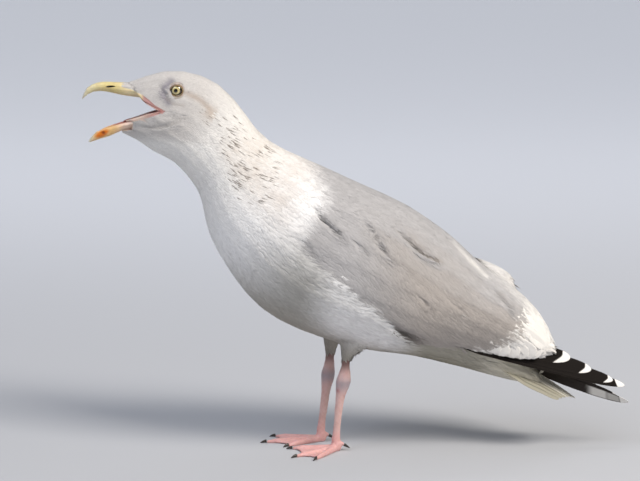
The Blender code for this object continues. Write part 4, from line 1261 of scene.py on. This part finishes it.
def lower_bill_colour(points, normals):
    """Yellow horn with the orange spot, a brown mark in it, and a flesh-coloured cutting edge."""
    x, _, z = points.T
    spot = np.hypot((x + 275.0) / 9.0, (z - 343.5 - 0.4 * (x + 275.0)) / 4.4)
    mark = np.hypot((x + 273.5) / 2.2, (z - 345.0) / 1.8)
    return painted(
        CHIN_YELLOW,
        (CHIN_PINK, 0.9 * step(x, -264, -248)),
        (CHIN_TIP, until(x, -289, -281)),
        (SPOT_ORANGE, until(spot, 0.5, 1.1)),
        (SPOT_BROWN, 0.85 * until(mark, 0.4, 1.2)),
        (CUTTING_EDGE, step(normals[:, 2], 0.6, 0.9) * step(x, -280, -268) * (z < 357)),
    )


def build_eyes():
    """Eyeballs, a little flattened, with the iris and the pupil painted round the way they look."""
    for side, label in SIDES.items():
        bm = bmesh.new()
        bmesh.ops.create_uvsphere(bm, u_segments=96, v_segments=120, radius=1.0)
        ball = np.array([v.co for v in bm.verts])
        ball = np.stack([ball[:, 0], side * ball[:, 2], ball[:, 1]], axis=1)
        radii = EYE_RADIUS * np.array([1, EYE_FLATTENED, 1])
        for v, p in zip(bm.verts, np.array([EYE[0], side * EYE[1], EYE[2]]) + ball * radii):
            v.co = p * MM
        bmesh.ops.recalc_face_normals(bm, faces=bm.faces[:])
        mesh = bpy.data.meshes.new(f"eyeball_{label}")
        bm.to_mesh(mesh)
        bm.free()
        look = np.array(EYE_LOOKS) * (1, side, 1)
        off = np.degrees(np.arccos(np.clip(ball @ (look / np.linalg.norm(look)), -1, 1)))
        flecks = spread_noise(ball * EYE_RADIUS, 0.7)
        colours = painted(
            IRIS,
            (IRIS_PALE, step(off, 19, 27) * (0.85 + 0.15 * flecks)),
            (IRIS_EDGE, 0.8 * step(off, 29, 35)),
            (EYE_BROWN, step(off, 36, 39.5)),
            (PUPIL, until(off, 15.5, 17.5)),
        )
        dress(mesh, eye_looks(), colours)
        riding(linked(f"eyeball_{label}", mesh), (f"eye_{label}",))


# Rings of the eyelids from the edge on the eyeball outwards:
# half length, half height, height over the face, colour.
LID_RINGS = (
    (5.6, 4.7, -0.6, "2A1F1A"),
    (5.9, 4.95, 0.30, "33261D"),
    (6.4, 5.4, 0.50, "96804A"),
    (6.9, 5.85, 0.40, "64503F"),
    (7.6, 6.5, 0.05, "A08C7E"),
    (8.3, 7.1, 0.15, "B3A59B"),
    (9.1, 7.9, -0.1, "BBB0A8"),
    (10.0, 8.8, -0.9, "C4BCB5"),
)
LID_COLUMNS, FOLD_ROWS, FOLD_COLUMNS = 60, 50, 13
# The fold of skin along the mouth's edge, round its corner, and the middle that it curves about.
MOUTH_FOLD = (
    (-229, 378.2), (-225, 376.2), (-218, 372.6), (-212.6, 369.8), (-210.9, 368.8), (-212.2, 368),
    (-217, 366.6), (-226.4, 364.2), (-236.5, 360.9),
)
FOLD_MIDDLE = (-224.0, 369.3)


def face_out(tree, side, x, z):
    """How far from the midline the side of the face lies at a place seen from the side."""
    found = tree.ray_cast(Vector((x, side * 60, z)), Vector((0, -side, 0)), 58.0)[0]
    return side * (found or tree.find_nearest(Vector((x, side * 9, z)))[0]).y


def eyelid(tree, side):
    """Points and colours of the eyelids, ring by ring."""
    turn = np.arange(LID_COLUMNS) * 2 * math.pi / LID_COLUMNS
    front = peak(turn - math.pi, 0.45)
    face = [face_out(tree, side, EYE[0] + 11.0 * math.cos(t), EYE[2] + 9.6 * math.sin(t)) for t in turn]
    rings, colours, rim = [], [], 0
    for number, (a, b, rise, code) in enumerate(LID_RINGS):
        dx = a * np.cos(turn) * (1 + (0.22 - 0.03 * number) * front * (number < 4))
        dz = b * np.sin(turn) - 0.9 * front * (number < 4) - 0.5 * (number > 4) * (np.sin(turn) < 0)
        ball = EYE[1] + EYE_FLATTENED * np.sqrt(np.maximum(EYE_RADIUS**2 - dx**2 - dz**2, 0))
        share = min(max(number - 1, 0) / 5, 1)
        base = rim * (1 - share) + np.array(face) * share if number else ball
        rim = ball if number < 2 else rim
        rise = rise + 0.16 * np.sin(turn * 7 + 1.3 * number) * (number > 3)
        y = np.maximum(base + rise, ball + 0.25) if number else ball + rise
        rings.append(np.stack([EYE[0] + dx, side * y, EYE[2] + dz], axis=1))
        colours.append(linear(code) * (1 + 0.07 * np.sin(turn * 5 + number) * (number > 2))[:, None])
    return np.stack(rings), np.stack(colours)


def mouth_fold(tree, side):
    """Points and colours of the pink fold round the corner of the mouth, a tube ring by ring."""
    fine = np.linspace(0, len(MOUTH_FOLD) - 1, FOLD_ROWS)
    line = np.stack([np.interp(fine, range(len(MOUTH_FOLD)), row) for row in zip(*MOUTH_FOLD)], axis=1)
    for _ in range(4):
        line[1:-1] = between(line)
    y = [face_out(tree, side, *(p + 0.9 * q)) for p, q in zip(line, unit(line - np.array(FOLD_MIDDLE)))]
    y = np.convolve(np.pad(y, 4, mode="edge"), np.ones(9) / 9, mode="valid")
    ends = np.clip(np.minimum(fine, fine[-1] - fine) / 0.8, 0, 1)
    path = np.stack([line[:, 0], side * (y - 1.1 + 0.75 * ends), line[:, 1]], axis=1)
    along = unit(np.gradient(path, axis=0))
    flat = unit(np.cross(along, (0.0, 1.0, 0.0)))
    up = np.cross(flat, along)
    thick = ((0.45 + 0.75 * peak(fine - 4.2, 1.6)) * (0.15 + 0.85 * ends))[:, None]
    turns = np.linspace(0, 2 * math.pi, FOLD_COLUMNS)
    tone = painted(FOLD_PALE, (FOLD_PINK, peak(fine - 4.2, 1.8)), (FOLD_DARK, 0.8 * peak(fine - 3.6, 0.7)))
    tube = [path + (flat * math.cos(t) + up * math.sin(t)) * thick for t in turns]
    return np.stack(tube), np.stack([tone] * FOLD_COLUMNS)


def build_lids(skin):
    """Eyelids and the pink folds at the corners of the mouth, joined to the skin."""
    looks = skin.obj.data.materials["bare_skin"]
    pieces = [skin.obj]
    for number, (side, made) in enumerate((side, made) for side in SIDES for made in (eyelid, mouth_fold)):
        rings, colours = made(skin.tree, side)
        high, wide = rings.shape[:2]
        points = rings.reshape(-1, 3)
        grid = np.arange(high * wide).reshape(high, wide)
        if made is eyelid:
            grid = np.concatenate([grid, grid[:, :1]], axis=1)
        quads = np.stack([grid[:-1, :-1], grid[:-1, 1:], grid[1:, 1:], grid[1:, :-1]], axis=-1).reshape(-1, 4)
        a, b, c = points[quads[len(quads) // 2, :3]]
        if made is eyelid and np.cross(b - a, c - a)[1] * side < 0:
            quads = quads[:, ::-1]
        place = np.stack(np.meshgrid(np.arange(wide) / wide, np.arange(high) / high), axis=-1).reshape(-1, 2)
        place = place * (0.07, 0.04) + (0.92, 0.81 + 0.045 * number)
        piece = mesh_object(f"lid_{number}", points, quads, looks, colours.reshape(-1, 3), place)
        pieces.append(riding(piece))
    for piece in bpy.context.view_layer.objects:
        piece.select_set(piece in pieces)
    bpy.context.view_layer.objects.active = skin.obj
    bpy.ops.object.join()


BIRD, BACKDROP = (0.0, 0.0, 0.2), (0.0, 7.6, 0.0)
# Lamps: name, place, what it faces, width and depth, spread in degrees, power, colour. Metres and watts.
LAMPS = (
    ("key", (1.7, -1.5, 2.4), BIRD, (1.3, 1.3), 180, 100.0, "FFF8EE"),
    ("top", (-0.6, 0.8, 2.8), BIRD, (2.2, 2.2), 180, 4.0, "EEF3FF"),
    ("fill", (-2.0, -1.3, 2.8), BIRD, (1.8, 1.8), 180, 45.0, "EEF3FF"),
    ("far", (0.0, 7.6, 3.2), BACKDROP, (9.0, 12.8), 70, 340.0, "F2F4FA"),
)


def build_stage():
    """A plain floor, soft lamps and a pale studio round them."""
    bpy.ops.mesh.primitive_plane_add(size=30)
    floor = bpy.context.object
    floor.name = "floor"
    # Floor: matt painted board, the same grey all over.
    floor.data.materials.append(finish_of("floor", 0.9, FLOOR_GREY)[0])
    for name, place, target, (wide, deep), spread, power, code in LAMPS:
        data = bpy.data.lights.new(name, "AREA")
        data.shape = "RECTANGLE"
        data.size = wide
        data.size_y = deep
        data.spread = math.radians(spread)
        data.energy = power
        data.color = linear(code)
        lamp = linked(name, data)
        lamp.location = place
        lamp.rotation_euler = (Vector(target) - Vector(place)).to_track_quat("-Z", "Y").to_euler()
    world = bpy.data.worlds.new("studio")
    world.use_nodes = True
    set_inputs(world.node_tree.nodes["Background"], {0: (*linear(STUDIO_WHITE), 1), 1: 0.24})
    bpy.context.scene.world = world
    bpy.context.scene.view_settings.view_transform = "Standard"


def build_camera():
    """The camera on the bird's left side, a little above it."""
    data = bpy.data.cameras.new("view")
    data.lens = 125.0
    data.sensor_width = 36.0
    data.clip_start = 0.05
    data.clip_end = 50.0
    camera = linked("view", data)
    target = Vector((-0.0418, 0.0, 0.2272))
    tilt = math.radians(8.5)
    camera.location = target + 2.4 * Vector((0, -math.cos(tilt), math.sin(tilt)))
    camera.rotation_euler = (target - camera.location).to_track_quat("-Z", "Y").to_euler()
    bpy.context.scene.camera = camera


skin = build_skin()
build_coat(skin)
build_long_feathers(skin)
build_primaries()
build_tail()
build_eyes()
build_lids(skin)
bill = stand_in(
    "bill_upper", bill_looks(), 0.32, 18, upper_bill_colour, UPPER_ROOT, 0.1, NOSTRIL_WALL
)
build_wedge(skin, bill)
stand_in("bill_lower", bill_looks(), 0.25, 12, lower_bill_colour, LOWER_ROOT, 0.4)
stand_in("tongue", tongue_looks(), 0.4, 3, grow=0.4)
for side_name in SIDES.values():
    for toe in ("inner", "middle", "outer", "hind"):
        stand_in(f"claw_{toe}_{side_name}", claw_looks(), 0.25, 3)
build_stage()
build_camera()
